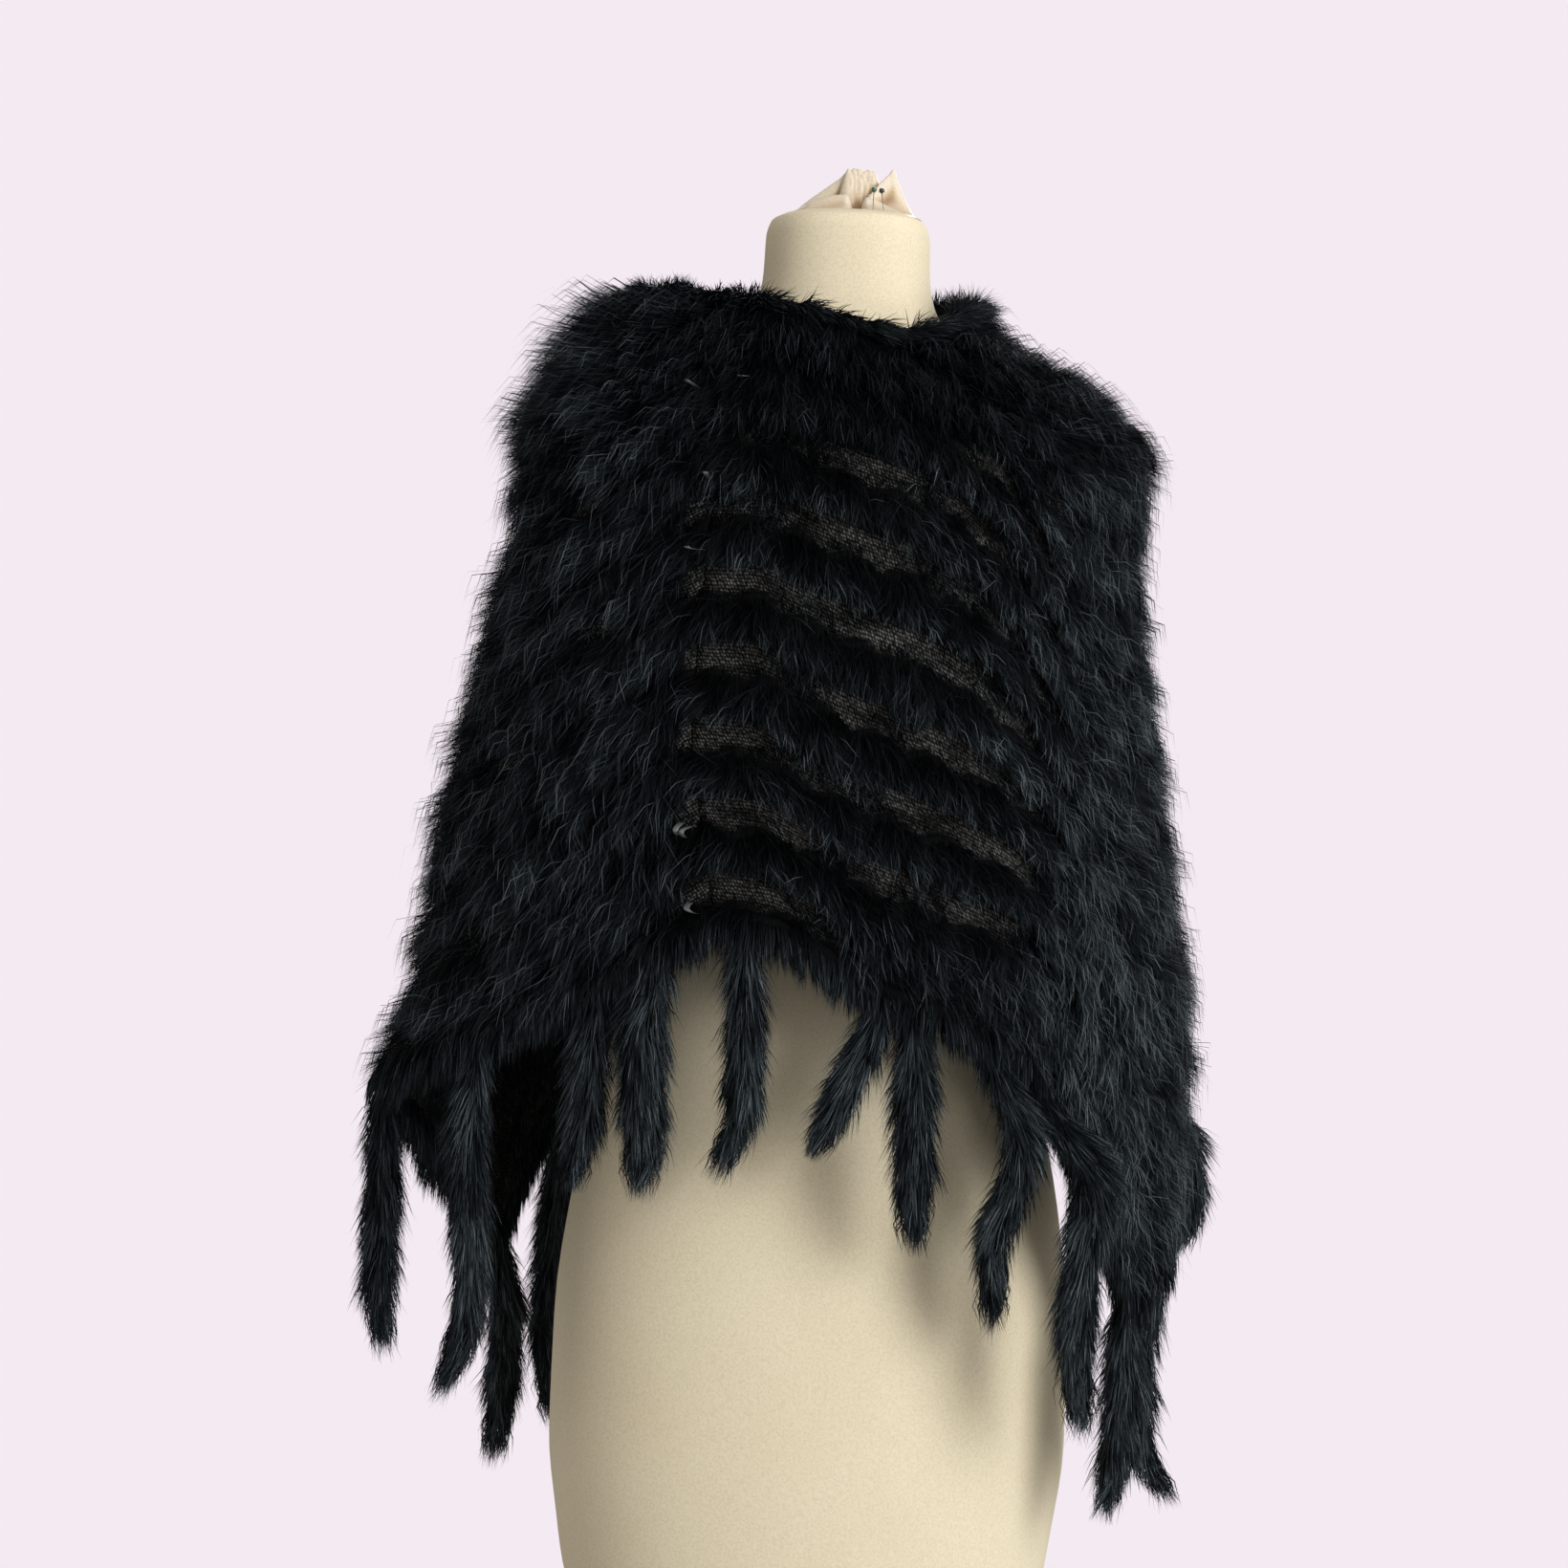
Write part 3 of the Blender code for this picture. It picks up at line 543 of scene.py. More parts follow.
def cloth_panel(seam, form_tree):
    """A fine grid for a panel: its plain inside, and an outside with the fur rows raised."""
    azimuths = column_azimuths(seam)
    columns = []
    levels = []
    for azimuth in azimuths:
        bottom = HEM_CURVES["hem"](turn_of(azimuth)) + EDGING_HEIGHT
        points, length = resampled(profile(azimuth, bottom), LINES)
        columns.append(points)
        levels.append(row_level(azimuth, np.linspace(0.0, length, LINES)))
    inner = np.array(columns)
    level = np.array(levels)
    for point in inner.reshape(-1, 3):
        touch, form_normal, _, _ = form_tree.find_nearest(Vector(point))
        if (Vector(point) - touch).dot(form_normal) < REST_CLEARANCE:
            point[:] = touch + form_normal * REST_CLEARANCE
    across = unit(np.gradient(inner, axis=0))
    up = unit(np.gradient(inner, axis=1))
    normal = unit(np.cross(across, up))
    arc = np.concatenate(
        [np.zeros((1, LINES)), np.cumsum(np.linalg.norm(np.diff(inner, axis=0), axis=2), axis=0)]
    )
    bare = (1.0 - VALLEY_CLOSED * eased(apart(azimuths, BARE_AZIMUTH), *BARE_REACH))[:, None]

    edge = eased(np.minimum(arc, arc[-1:] - arc), 0.0, 0.010)
    past_point = (turn_of(azimuths) > POINT_TURN)[:, None]
    arc = np.where(past_point, arc - arc[-1:] + ARC_PAST_POINT, arc)

    row, within, roll, tuft = row_parts(level, arc)
    crown = np.sin(np.pi * np.clip((within - CREST_FROM) / (1 - CREST_FROM), 0.0, 1.0))
    wander = turned_noise(inner, 42.0, seam)
    pile = FUR_DEPTH * PILE_SHARE * roll * (0.78 + 0.22 * crown) + TUFT_BULGE * roll * (tuft - 0.5 + wander)
    pile = np.maximum(pile, FUR_DEPTH * PILE_SHARE * (1.0 - bare))
    shoulder = eased(inner[..., 2], LEFT_SHOULDER_FROM, LEFT_SHOULDER_TO) * leftward(inner)
    pile = np.maximum(pile, 0.0) + LEFT_SHOULDER_FUR * shoulder * SHOULDER_PILE_SHARE
    pile = pile * (0.55 + 0.45 * edge)
    outer = inner + normal * (KNIT_WALL + pile)[..., None]
    closed = eased(inner[..., 0], -0.004, 0.016) * eased(level, CLOSED_ROW, CLOSED_ROW - 0.008)
    opened = openness(inner) * (1.0 - closed)
    return Cloth(inner, outer, normal, -up, across, level, arc, opened, azimuths)


def grid_faces(columns, lines, start, flipped):
    """Quads of a grid of points whose first index is the column."""
    c, l = np.meshgrid(np.arange(columns - 1), np.arange(lines - 1), indexing="ij")
    a = (start + c * lines + l).ravel()
    quads = np.stack([a, a + lines, a + lines + 1, a + 1], axis=1)
    return quads[:, ::-1] if flipped else quads


def wall_faces(first, second, flipped):
    quads = np.stack([first[:-1], first[1:], second[1:], second[:-1]], axis=1)
    return quads[:, ::-1] if flipped else quads


def mesh_object(name, points, faces, finish):
    """A smooth mesh object from an array of points and arrays of faces with equally many corners each."""
    mesh = bpy.data.meshes.new(name)
    counts = np.concatenate([np.full(len(f), f.shape[1]) for f in faces])
    corners = np.concatenate([f.ravel() for f in faces])
    mesh.vertices.add(len(points))
    mesh.vertices.foreach_set("co", np.asarray(points, np.float32).ravel())
    mesh.loops.add(len(corners))
    mesh.loops.foreach_set("vertex_index", corners.astype(np.int32))
    mesh.polygons.add(len(counts))
    mesh.polygons.foreach_set("loop_start", (np.cumsum(counts) - counts).astype(np.int32))
    mesh.polygons.foreach_set("use_smooth", np.ones(len(counts), bool))
    mesh.update(calc_edges=True)
    mesh.materials.append(finish)
    made = bpy.data.objects.new(name, mesh)
    bpy.context.scene.collection.objects.link(made)
    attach(made, "root")
    return made


def store(made, name, values):
    """Keeps a number or a vector for each point of a mesh, for its material."""
    kind = "FLOAT" if values.ndim == 1 else "FLOAT_VECTOR"
    field = "value" if values.ndim == 1 else "vector"
    layer = made.data.attributes.new(name, kind, "POINT")
    layer.data.foreach_set(field, np.asarray(values, np.float32).ravel())


def hashed(a, b, seed):
    """A steady number from 0 to 1 for each pair of whole numbers."""
    mixed = np.sin(a * 12.9898 + b * 78.233 + seed * 37.719) * 43758.5453
    return mixed - np.floor(mixed)


class Hairs:
    """Collects tapered hairs, curved or straight, and makes one mesh of them."""

    def __init__(self):
        self.points = []
        self.tones = []
        self.straight = []

    def add(self, roots, middles, tips, facing, width, tone, straight):
        side = unit(np.cross(tips - roots, facing)) * (width / 2)[:, None]
        rows = [roots - side, roots + side, middles - side * 0.8, middles + side * 0.8, tips]
        self.points.append(np.stack(rows, axis=1))
        self.tones.append(tone[:, None] * PAINTED_SHADE_ALONG_HAIR)
        self.straight.append(straight)

    def build(self, name, finish):
        straight = np.concatenate(self.straight)
        curved = ~straight
        base = np.arange(curved.sum())[:, None] * 5
        last = curved.sum() * 5 + np.arange(straight.sum())[:, None] * 3
        faces = [base + np.array([[0, 1, 3, 2]]), base + np.array([[2, 3, 4]]), last + np.array([[0, 1, 2]])]
        points, tones = np.concatenate(self.points), np.concatenate(self.tones)
        kept = points[curved].reshape(-1, 3), points[straight][:, STRAIGHT_POINTS].reshape(-1, 3)
        made = mesh_object(name, np.concatenate(kept), faces, finish)
        kept = tones[curved].ravel(), tones[straight][:, STRAIGHT_POINTS].ravel()
        store(made, "tone", np.concatenate(kept))
        return made


def edge_hairs(count, kind):
    """For hairs of a kind of edging fur: which are straight, their widths and their tones."""
    straight = rng.random(count) < EDGE_STRAIGHT_SHARE
    guard = rng.random(count) < kind.guards
    width = np.where(guard, GUARD_WIDTH, kind.wide) * (0.8 + 0.5 * rng.random(count))
    pale = kind.pale + kind.paler * rng.random(count) ** kind.power
    dark = kind.dark + kind.darker * rng.random(count) ** 2
    return straight, width, np.where(guard, pale, dark)


def grid_samples(surface, count, weight):
    """Random places on a grid of points, spread by area times weight: cell corner indices and shares."""
    du = np.linalg.norm(np.diff(surface, axis=0)[:, :-1], axis=2)
    dv = np.linalg.norm(np.diff(surface, axis=1)[:-1], axis=2)
    mass = (du * dv * weight[:-1, :-1]).ravel()
    cell = rng.choice(len(mass), size=count, p=mass / mass.sum())
    c, l = np.divmod(cell, surface.shape[1] - 1)
    return c, l, rng.random(count), rng.random(count)


def taken(field, place):
    """A grid's values at sampled places."""
    c, l, s, t = place
    if field.ndim == 3:
        s = s[:, None]
        t = t[:, None]
    low = field[c, l] * (1 - s) + field[c + 1, l] * s
    high = field[c, l + 1] * (1 - s) + field[c + 1, l + 1] * s
    return low * (1 - t) + high * t


def panel_tones(root, guard, leftness, low_in_row, opened, raised):
    """How pale each hair is: painted shade darkens the top of its row and the chest, painted light makes the
    right side paler, a painted sheen makes raised clumps paler, and the left side is paler too.
    """
    tone = 0.10 + 0.20 * rng.random(len(root)) ** 2
    tone = np.where(guard, 0.25 + 0.75 * rng.random(len(root)) ** 1.5, tone)
    # Painted shade darkens the hairs high in each row, as under the row above, most where the knit shows; a
    # painted sheen makes raised clumps paler
    painted_row_shade = 0.10 + 1.15 * low_in_row ** 0.9
    tone = tone * (1.0 + (painted_row_shade - 1.0) * (0.35 + 0.65 * opened)) * (0.60 + 0.85 * raised)
    # Painted shade darkens the chest, and painted light makes the right side paler
    painted_chest_shade = eased(root[:, 2], 0.73, 0.78) * (1 - leftness)
    tone = tone * (1.0 - 0.50 * painted_chest_shade) * (1.0 + 0.55 * eased(root[:, 0], 0.07, 0.15))
    return np.minimum(tone * (1.0 + 0.30 * eased(root[:, 0], -0.10, -0.18)), 1.0)


def panel_fur(cloth, first, last, name, finish):
    """The fur on the rows of part of a panel, from its first to its last column."""
    count = PANEL_HAIRS
    vectors = (cloth.outer, cloth.normal, cloth.down, cloth.across)
    fields = [f[first:last] for f in (*vectors, cloth.level, cloth.arc, cloth.opened)]
    surface, *_, levels, arcs, bare = fields
    _, _, roll, _ = row_parts(levels, arcs)
    weight = 0.022 + roll + (1 - roll) * (1 - bare) * 0.8
    weight = weight * (1.0 + 0.8 * eased(surface[..., 2], 0.70, 0.76))
    place = grid_samples(surface, count, weight)
    root, normal, down, across, level, arc, opened = (taken(f, place) for f in fields)
    normal, down, across = unit(normal), unit(down), unit(across)
    row, within, _, tuft = row_parts(level, arc)

    # Hairs lie in clumps, three storeys of them to a row
    clump_width = 0.010 + 0.006 * hashed(row, 3.0, 1)
    offset = hashed(row, 7.0, 2)
    clump = np.floor(arc / clump_width + offset)
    middle = (clump + 0.5 - offset) * clump_width
    storey = np.floor(within * 3.0)
    drift = (hashed(clump, row * 3 + storey, 3) - 0.5) * 1.15
    raised = hashed(clump, row * 3 + storey, 4)
    leftness = eased(root[:, 0], -0.06, -0.14)
    high = eased(root[:, 2], 0.735, 0.815)

    # Lengths, short beside the neck, and no further over open knit than a little overhang
    straight = rng.random(count) < STRAIGHT_SHARE
    guard = rng.random(count) < np.where(straight, 0.08, 0.45)
    longer = np.where(guard, 0.005, 0.0)
    length = (0.011 + 0.010 * rng.random(count)) * (0.80 + 0.30 * tuft) * (1.0 + 0.30 * leftness)
    beside_neck = high * leftness * eased(root[:, 0], -0.165, -0.125)
    length = (length + longer) * (1.0 - 0.40 * beside_neck)
    overhang = 0.001 + 0.008 * rng.random(count) ** 2 * (0.4 + 1.1 * raised) + longer
    reach = np.maximum((within - CREST_FROM) * ROW_PITCH + overhang, 0.0045)
    length = length * (1 - opened) + np.minimum(length, reach) * opened

    # The way they lie: down the cloth and aside, along its surface, and off it at the foot of a row
    pull = unit(normal * normal[:, 2:3] - UP)
    sideways = np.where(root[:, 0] > -0.06, 0.25, -0.40) * np.where(root[:, 1] < 0.05, 1.0, 0.4)
    aim = down * 0.70 + pull * 0.45 + across * (sideways + drift)[:, None]
    aim = unit(aim) + rng.normal(0.0, 1.0, (count, 3)) * np.where(guard, 0.36, 0.26)[:, None]
    aim = unit(aim - normal * (aim * normal).sum(1)[:, None])
    aim = unit(aim + unit(root * LEVEL) * (0.40 * high * leftness)[:, None])
    lift = (0.12 + 0.36 * raised + 0.26 * rng.random(count)) * (1 + 0.65 * high * leftness)
    low_in_row = 1.0 - np.clip((within - CREST_FROM) / (CREST_TO + 0.10 - CREST_FROM), 0.0, 1.0)
    lift = lift + np.where(guard, 0.05, 0.0) + 0.26 * low_in_row ** 2
    gather = (middle - arc) * 0.40
    half = root + (aim * 0.48 + normal * lift[:, None]) * length[:, None]
    half = half + across * (gather * 0.35)[:, None]
    tip = root + (aim * 0.95 + normal * (lift * 1.05)[:, None] - UP * 0.16) * length[:, None]
    tip = tip + across * gather[:, None]
    facing = unit(normal + across * rng.normal(0.0, 0.6, count)[:, None])
    width = np.where(guard, 0.00042, 0.00080) * (0.8 + 0.5 * rng.random(count))
    tone = panel_tones(root, guard, leftness, low_in_row, opened, raised)
    hairs = Hairs()
    hairs.add(root - normal * ROOT_DEPTH, half, tip, facing, width, tone, straight)
    return hairs.build(name, finish)


def wrong_side_fur(cloth, name, finish):
    """Short sparse fur that comes through to the inside of a panel, and hangs longer at the hem."""
    count = WRONG_SIDE_HAIRS
    place = grid_samples(cloth.inner, count, 1.0 + 3.0 * eased(cloth.level, 0.16, 0.10))
    fields = (cloth.inner, cloth.normal, cloth.down, cloth.across, cloth.level)
    root, normal, down, across, level = (taken(f, place) for f in fields)
    hanging = eased(level, 0.30, 0.20)
    length = (0.006 + 0.008 * rng.random(count)) * (0.35 + 0.65 * hanging)
    inward = -normal * (0.0008 + 0.10 * length * hanging)[:, None]
    aim = unit(down + across * rng.normal(0.0, 0.45, count)[:, None])
    half = root + aim * (length * 0.5)[:, None] + inward
    tip = root + aim * length[:, None] + inward
    facing = unit(-normal + across * rng.normal(0.0, 0.4, count)[:, None])
    width = 0.0008 + 0.0005 * rng.random(count)
    straight = rng.random(count) < STRAIGHT_SHARE
    hairs = Hairs()
    hairs.add(root, half, tip, facing, width, 0.05 + 0.40 * rng.random(count), straight)
    return hairs.build(name, finish)


def panel_shell(cloth, name, finish):
    """The knitted panel as a thin closed shell with its fur rows raised outside."""
    columns, lines = cloth.inner.shape[:2]
    count = columns * lines
    points = np.concatenate([cloth.outer.reshape(-1, 3), cloth.inner.reshape(-1, 3)])
    index = np.arange(count).reshape(columns, lines)
    faces = [grid_faces(columns, lines, 0, False), grid_faces(columns, lines, count, True)]
    for edge, flipped in ((index[:, 0], True), (index[:, -1], False), (index[0], False), (index[-1], True)):
        faces.append(wall_faces(edge, edge + count, flipped))
    made = mesh_object(name, points, faces, finish)
    _, _, roll, _ = row_parts(cloth.level, cloth.arc)
    knit = (1.0 - eased(roll * 1.7, 0.0, 1.0)) * eased(cloth.opened * 1.4, 0.0, 1.0)
    sides = (knit, np.full_like(knit, WRONG_SIDE_KNIT))
    stored = [np.stack([cloth.arc, cloth.level, amount], axis=2).reshape(-1, 3) for amount in sides]
    store(made, "cloth", np.concatenate(stored))
    return made


def ring_tube(rings, is_loop):
    """Quads round a tube through equal rings, and caps for its ends unless it is a loop."""
    count, sides = rings.shape[:2]
    index = np.arange(count * sides).reshape(count, sides)
    a, b = (index, np.roll(index, -1, axis=0)) if is_loop else (index[:-1], index[1:])
    c, d = np.roll(b, -1, axis=1), np.roll(a, -1, axis=1)
    faces = [np.stack([a.ravel(), b.ravel(), c.ravel(), d.ravel()], axis=1)]
    if not is_loop:
        faces.append(index[0][None, :])
        faces.append(index[-1][None, ::-1])
    return faces


def tube_object(name, tubes, finish, is_loop=False):
    """One mesh object of all the tubes, each of which is an array of rings of points."""
    faces = []
    placed = 0
    for rings in tubes:
        faces += [f + placed for f in ring_tube(rings, is_loop)]
        placed += rings.size // 3
    return mesh_object(name, np.concatenate([rings.reshape(-1, 3) for rings in tubes]), faces, finish)


def circle(sides):
    """The cosines and sines of even steps once round, each as a column."""
    angles = np.arange(sides)[:, None] / sides * math.tau
    return np.cos(angles), np.sin(angles)


def edge_sections(inner, outer, up, height, narrow, sides):
    """Rounded sections of a fur roll that stands on a panel's edge, in the direction up."""
    wave = np.array(circle(sides))
    wide, high = (np.sign(wave) * np.abs(wave) ** EDGE_ROUNDNESS)[:, None]
    middle = (inner + outer) / 2 + up * (height / 2 + EDGE_GAP)
    half_wide = (outer - inner) / 2 * narrow
    return middle[:, None] + half_wide[:, None] * wide + (up * height / 2)[:, None] * high


def neck_roll(panels, finish, hair_finish):
    """The fur edging round the neck: a soft roll, and fur that stands up and out of it."""
    inner = np.concatenate([p.inner[:, -1] for p in panels])
    before = np.concatenate([p.inner[:, -3] for p in panels])
    normal = np.concatenate([p.normal[:, -1] for p in panels])
    left = leftward(inner)
    wide = KNIT_WALL + FUR_DEPTH * NECK_PILE_WIDTH + LEFT_SHOULDER_FUR * left * SHOULDER_PILE_SHARE
    outer = inner + normal * wide[:, None]
    up = unit(inner - before)
    high = NECK_ROLL_HEIGHT * NECK_PILE_SHARE
    rings = edge_sections(inner, outer, up, high, NECK_NARROW, NECK_SIDES)
    roll = tube_object("neck_edging_pile", [rings], finish, is_loop=True)
    store(roll, "cloth", np.zeros((len(roll.data.vertices), 3)))
    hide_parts("neck_edging")

    count = NECK_FUR.hairs
    k = rng.integers(0, len(rings), count)
    angle = rng.random(count) * math.tau
    side = np.cos(angle)
    rise = np.sin(angle)
    outside = np.clip(side, 0.0, 1.0)
    half_wide = (outer - inner)[k] / 2 * NECK_NARROW
    root = (inner + outer)[k] / 2 + up[k] * (high / 2)
    root = root + half_wide * (side * 0.96)[:, None] + up[k] * (rise * high / 2 * 0.94)[:, None]
    along = unit(np.roll(inner, -1, axis=0) - inner)[k]
    clump = np.floor(k / 3.0)
    lean = (hashed(clump, 0.0, 9) - 0.5) * 1.2
    standing = hashed(clump, 4.0, 11)
    front = eased(inner[k][:, 1], 0.0, -0.08) * eased(inner[k][:, 0], -0.075, -0.045)
    upright = np.clip(rise, 0.0, 1.0) * (0.35 + 0.95 * standing) * (1 - 0.55 * front)
    upright = upright - outside * (0.9 - 0.5 * standing)
    aim = unit(half_wide) * (side * 0.7 + 0.40)[:, None] + up[k] * upright[:, None]
    swept = 0.25 + 0.85 * front + lean * (1 - 0.5 * front)
    aim = aim + along * (swept + rng.normal(0.0, 0.30, count))[:, None]
    aim = unit(aim + rng.normal(0.0, 0.24, (count, 3)))
    length = NECK_FUR.short + NECK_FUR.longer * rng.random(count)
    length = length * (1 - 0.30 * left[k]) * (0.62 + 0.70 * standing)
    length = np.where(side < -0.2, length * 0.62, length)
    half = root + aim * (length * 0.5)[:, None]
    tip = root + (aim - UP * 0.20) * length[:, None]
    facing = unit(np.cross(along, aim) + rng.normal(0.0, 0.4, (count, 3)))
    straight, width, tone = edge_hairs(count, NECK_FUR)
    # Painted shade darkens the hairs on the roll's inner side toward the neck, and hairs of standing clumps
    # are paler
    tone = np.minimum(tone * (0.6 + 0.6 * outside) * (0.9 + 0.7 * standing), 1.0)
    hairs = Hairs()
    hairs.add(root, half, tip, facing, width, tone, straight)
    hairs.build("neck_edging_fur", hair_finish)


def tail_line(root, outward, tail, share):
    """The middle of a tail at a share of its length."""
    swing = curve_through(TAIL_BENDS, [0.0, tail.swing_1, tail.swing_2, tail.swing_3])(share)
    out = outward * tail.out * eased(share, 0.0, TAIL_OUT_AT)
    return root + np.array([swing, 0.0, -tail.length * share]) + out


def tail_rings(root, outward, tail):
    """Rounded rings of a tail's pile from its root to its tip, its middle line and its way across."""
    sizes = curve_through([s for s, _ in TAIL_SHAPE], [size for _, size in TAIL_SHAPE])
    across = unit(np.cross(UP, outward))
    cosines, sines = circle(TAIL_SIDES)
    round_out = across * cosines + outward * (sines * TAIL_THICKNESS)
    rings = []
    line = []
    for i in range(TAIL_RINGS):
        share = i / (TAIL_RINGS - 1) * TAIL_PILE_END
        ripple = 1 + 0.10 * math.sin(share * 23 + tail.azimuth)
        point = eased(share, TAIL_PILE_END + 0.04, TAIL_PILE_END - 0.12)
        half = tail.width * sizes(share) / 2 * TAIL_PILE * ripple * (0.15 + 0.85 * point)
        line.append(tail_line(root, outward, tail, share))
        rings.append(line[-1] + round_out * half)
    return np.array(rings), np.array(line), across


def tail_fur(hairs, rings, line, outward, across, tail):
    """Long soft fur down a tail, ending in a pointed brush."""
    count = int(TAIL_FUR.hairs * (tail.length / 0.16) * (tail.width / 0.034))
    share = rng.random(count) ** 0.9
    spot = share * (len(line) - 1.001)
    i = spot.astype(int)
    f = (spot - i)[:, None]
    ahead = unit(line[np.minimum(i + 1, len(line) - 1)] - line[np.maximum(i - 1, 0)])
    angle = rng.random(count) * math.tau
    reach = np.linalg.norm(rings[i, 0] - line[i], axis=1)
    round_out = across * np.cos(angle)[:, None] + outward * (np.sin(angle) * TAIL_THICKNESS)[:, None]
    root = line[i] * (1 - f) + line[i + 1] * f + round_out * (reach * 0.9)[:, None]
    clump = np.floor(angle * 1.6) + np.floor(share * 8) * 31
    twist = (hashed(clump, tail.azimuth, 5) - 0.5) * 0.8
    fluff = hashed(clump, tail.azimuth, 8)
    round_about = unit(np.cross(ahead, round_out))
    spread = (0.16 + 0.34 * rng.random(count) + 0.36 * fluff) * (1 - 0.45 * share)
    aim = unit(ahead + round_out * spread[:, None] + round_about * twist[:, None])
    aim = unit(aim + rng.normal(0.0, 0.13, (count, 3)))
    length = TAIL_FUR.short + TAIL_FUR.longer * rng.random(count) + 0.005 * fluff
    length = length * (1 - 0.15 * share) + eased(share, 0.86, 1.0) * 0.010 * rng.random(count)
    length = np.minimum(length, (1.0 - share * TAIL_PILE_END) * tail.length + 0.004)
    half = root + aim * (length * 0.5)[:, None]
    closing = eased(share, 0.80, 0.95)[:, None]
    tip = root + unit(aim + ahead * 0.25 - round_out * 0.45 * closing) * length[:, None]
    facing = unit(round_out + rng.normal(0.0, 0.4, (count, 3)))
    straight, width, tone = edge_hairs(count, TAIL_FUR)
    tone = np.minimum(tone * (0.75 + 1.05 * fluff), 1.0)
    hairs.add(root, half, tip, facing, width, tone, straight)


def edging_fur(hairs, cloth, inner, outer):
    """The hanging fur of the edging under a panel's hem."""
    count = HEM_FUR.hairs
    k = rng.integers(0, len(inner) - 1, count)
    f = rng.random(count)[:, None]
    angle = rng.random(count) * math.tau
    side = np.cos(angle)
    down = cloth.down[k, 0]
    root = (inner + outer)[k] / 2 * (1 - f) + (inner + outer)[k + 1] / 2 * f
    root = root + down * (EDGING_HEIGHT * (0.44 + 0.44 * np.sin(angle)))[:, None]
    root = root + (outer - inner)[k] / 2 * (side * 0.9)[:, None]
    lean = (hashed(np.floor(cloth.arc[k, 0] / 0.009), 0.0, 6) - 0.5) * 0.8
    out = unit((outer - inner)[k]) * (side * 0.32)[:, None]
    aside = unit(cloth.across[k, 0]) * (lean + rng.normal(0.0, 0.12, count))[:, None]
    aim = unit(down - UP * 0.5 + out + aside)
    length = HEM_FUR.short + HEM_FUR.longer * rng.random(count)
    half = root + (aim + out * 0.3) * (length * 0.5)[:, None]
    tip = root + unit(aim - UP * 0.2) * length[:, None]
    facing = unit(out + rng.normal(0.0, 0.35, (count, 3)))
    straight, width, tone = edge_hairs(count, HEM_FUR)
    hairs.add(root, half, tip, facing, width, tone, straight)


def hem_with_tails(cloth, node, finish, hair_finish):
    """The fur edging under a panel's hem, its tails, and the fur on both."""
    inner = cloth.inner[:, 0]
    down = cloth.down[:, 0]
    outer = inner + cloth.normal[:, 0] * (KNIT_WALL + FUR_DEPTH * HEM_PILE_WIDTH)
    rings = edge_sections(inner, outer, down, EDGING_HEIGHT * 0.90, HEM_NARROW, HEM_SIDES)
    tubes = [rings]
    hairs = Hairs()
    edging_fur(hairs, cloth, inner, outer)
    for tail in TAILS:
        wanted = cloth.azimuth[0] + (tail.azimuth - cloth.azimuth[0]) % (2 * HALF_TURN)
        if wanted > cloth.azimuth[-1]:
            continue
        k = int(np.argmin(np.abs(cloth.azimuth - wanted)))
        root = (inner + outer)[k] / 2 + down[k] * EDGING_HEIGHT * 0.8
        outward = unit(root * LEVEL)
        body, line, across = tail_rings(root, outward, tail)
        tubes.append(body)
        tail_fur(hairs, body, line, outward, across, tail)
    core = tube_object(node + "_pile", tubes, finish)
    store(core, "cloth", np.zeros((len(core.data.vertices), 3)))
    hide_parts(node)
    return core, hairs.build(node + "_fur", hair_finish)


def dress_form(finish):
    """The limbless form with a finer surface than its solid, and just inside it."""
    heights = []
    for low, high in zip(FORM, FORM[1:]):
        for i in range(FORM_RINGS_BETWEEN):
            heights.append(low.height + (high.height - low.height) * i / FORM_RINGS_BETWEEN)
    heights.append(FORM[-1].height)
    rings = []
    for height in heights:
        side, front, back = (FORM_CURVES[n](height) - FORM_INSET for n in ("side", "front", "back"))
        ring = []
        for i in range(FORM_SIDES):
            azimuth = 2 * HALF_TURN * i / FORM_SIDES
            radius = oval_radius(azimuth, (side, side, front, back), FORM_SQUARENESS)
            ring.append(direction(azimuth) * radius + UP * height)
        rings.append(ring)
    made = tube_object("dress_form_jersey", [np.array(rings)], finish)
    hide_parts("dress_form")


def gather_height(x, y, share):
    """How high the gathered jersey stands over a point of the neck's top, at a share of its radius."""
    total = 0.0
    for ridge in RIDGES:
        run = ridge.x2 - ridge.x1, ridge.y2 - ridge.y1
        t = ((x - ridge.x1) * run[0] + (y - ridge.y1) * run[1]) / (run[0] ** 2 + run[1] ** 2)
        t = min(max(t, 0.0), 1.0)
        away = math.hypot(x - ridge.x1 - run[0] * t, y - ridge.y1 - run[1] * t) / ridge.wide
        height = (ridge.height1 + (ridge.height2 - ridge.height1) * t) / (1 + away ** 2.2)
        total += math.exp(height * GATHER_SHARPNESS)
    height = math.log(total / len(RIDGES)) / GATHER_SHARPNESS + 0.003
    groove = math.exp(-((x - GROOVE_X) / GROOVE_HALF) ** 2) * eased(y, -0.004, -0.012)
    height -= GROOVE_DEPTH * groove
    lump = math.exp(-((x - 0.007) / 0.010) ** 2 - (y / 0.014) ** 2)
    crumple = abs(noise.noise(Vector((x * 210, y * 210, 1.0))))
    crumple += 0.5 * noise.noise(Vector((x * 480, y * 480, 7.0)))
    pulled = noise.noise(Vector((x * 34, y * 130, 4.0)))
    height += 0.0050 * crumple * lump + 0.0024 * pulled
    return max(height * (1 - share ** 5), 0.0004)


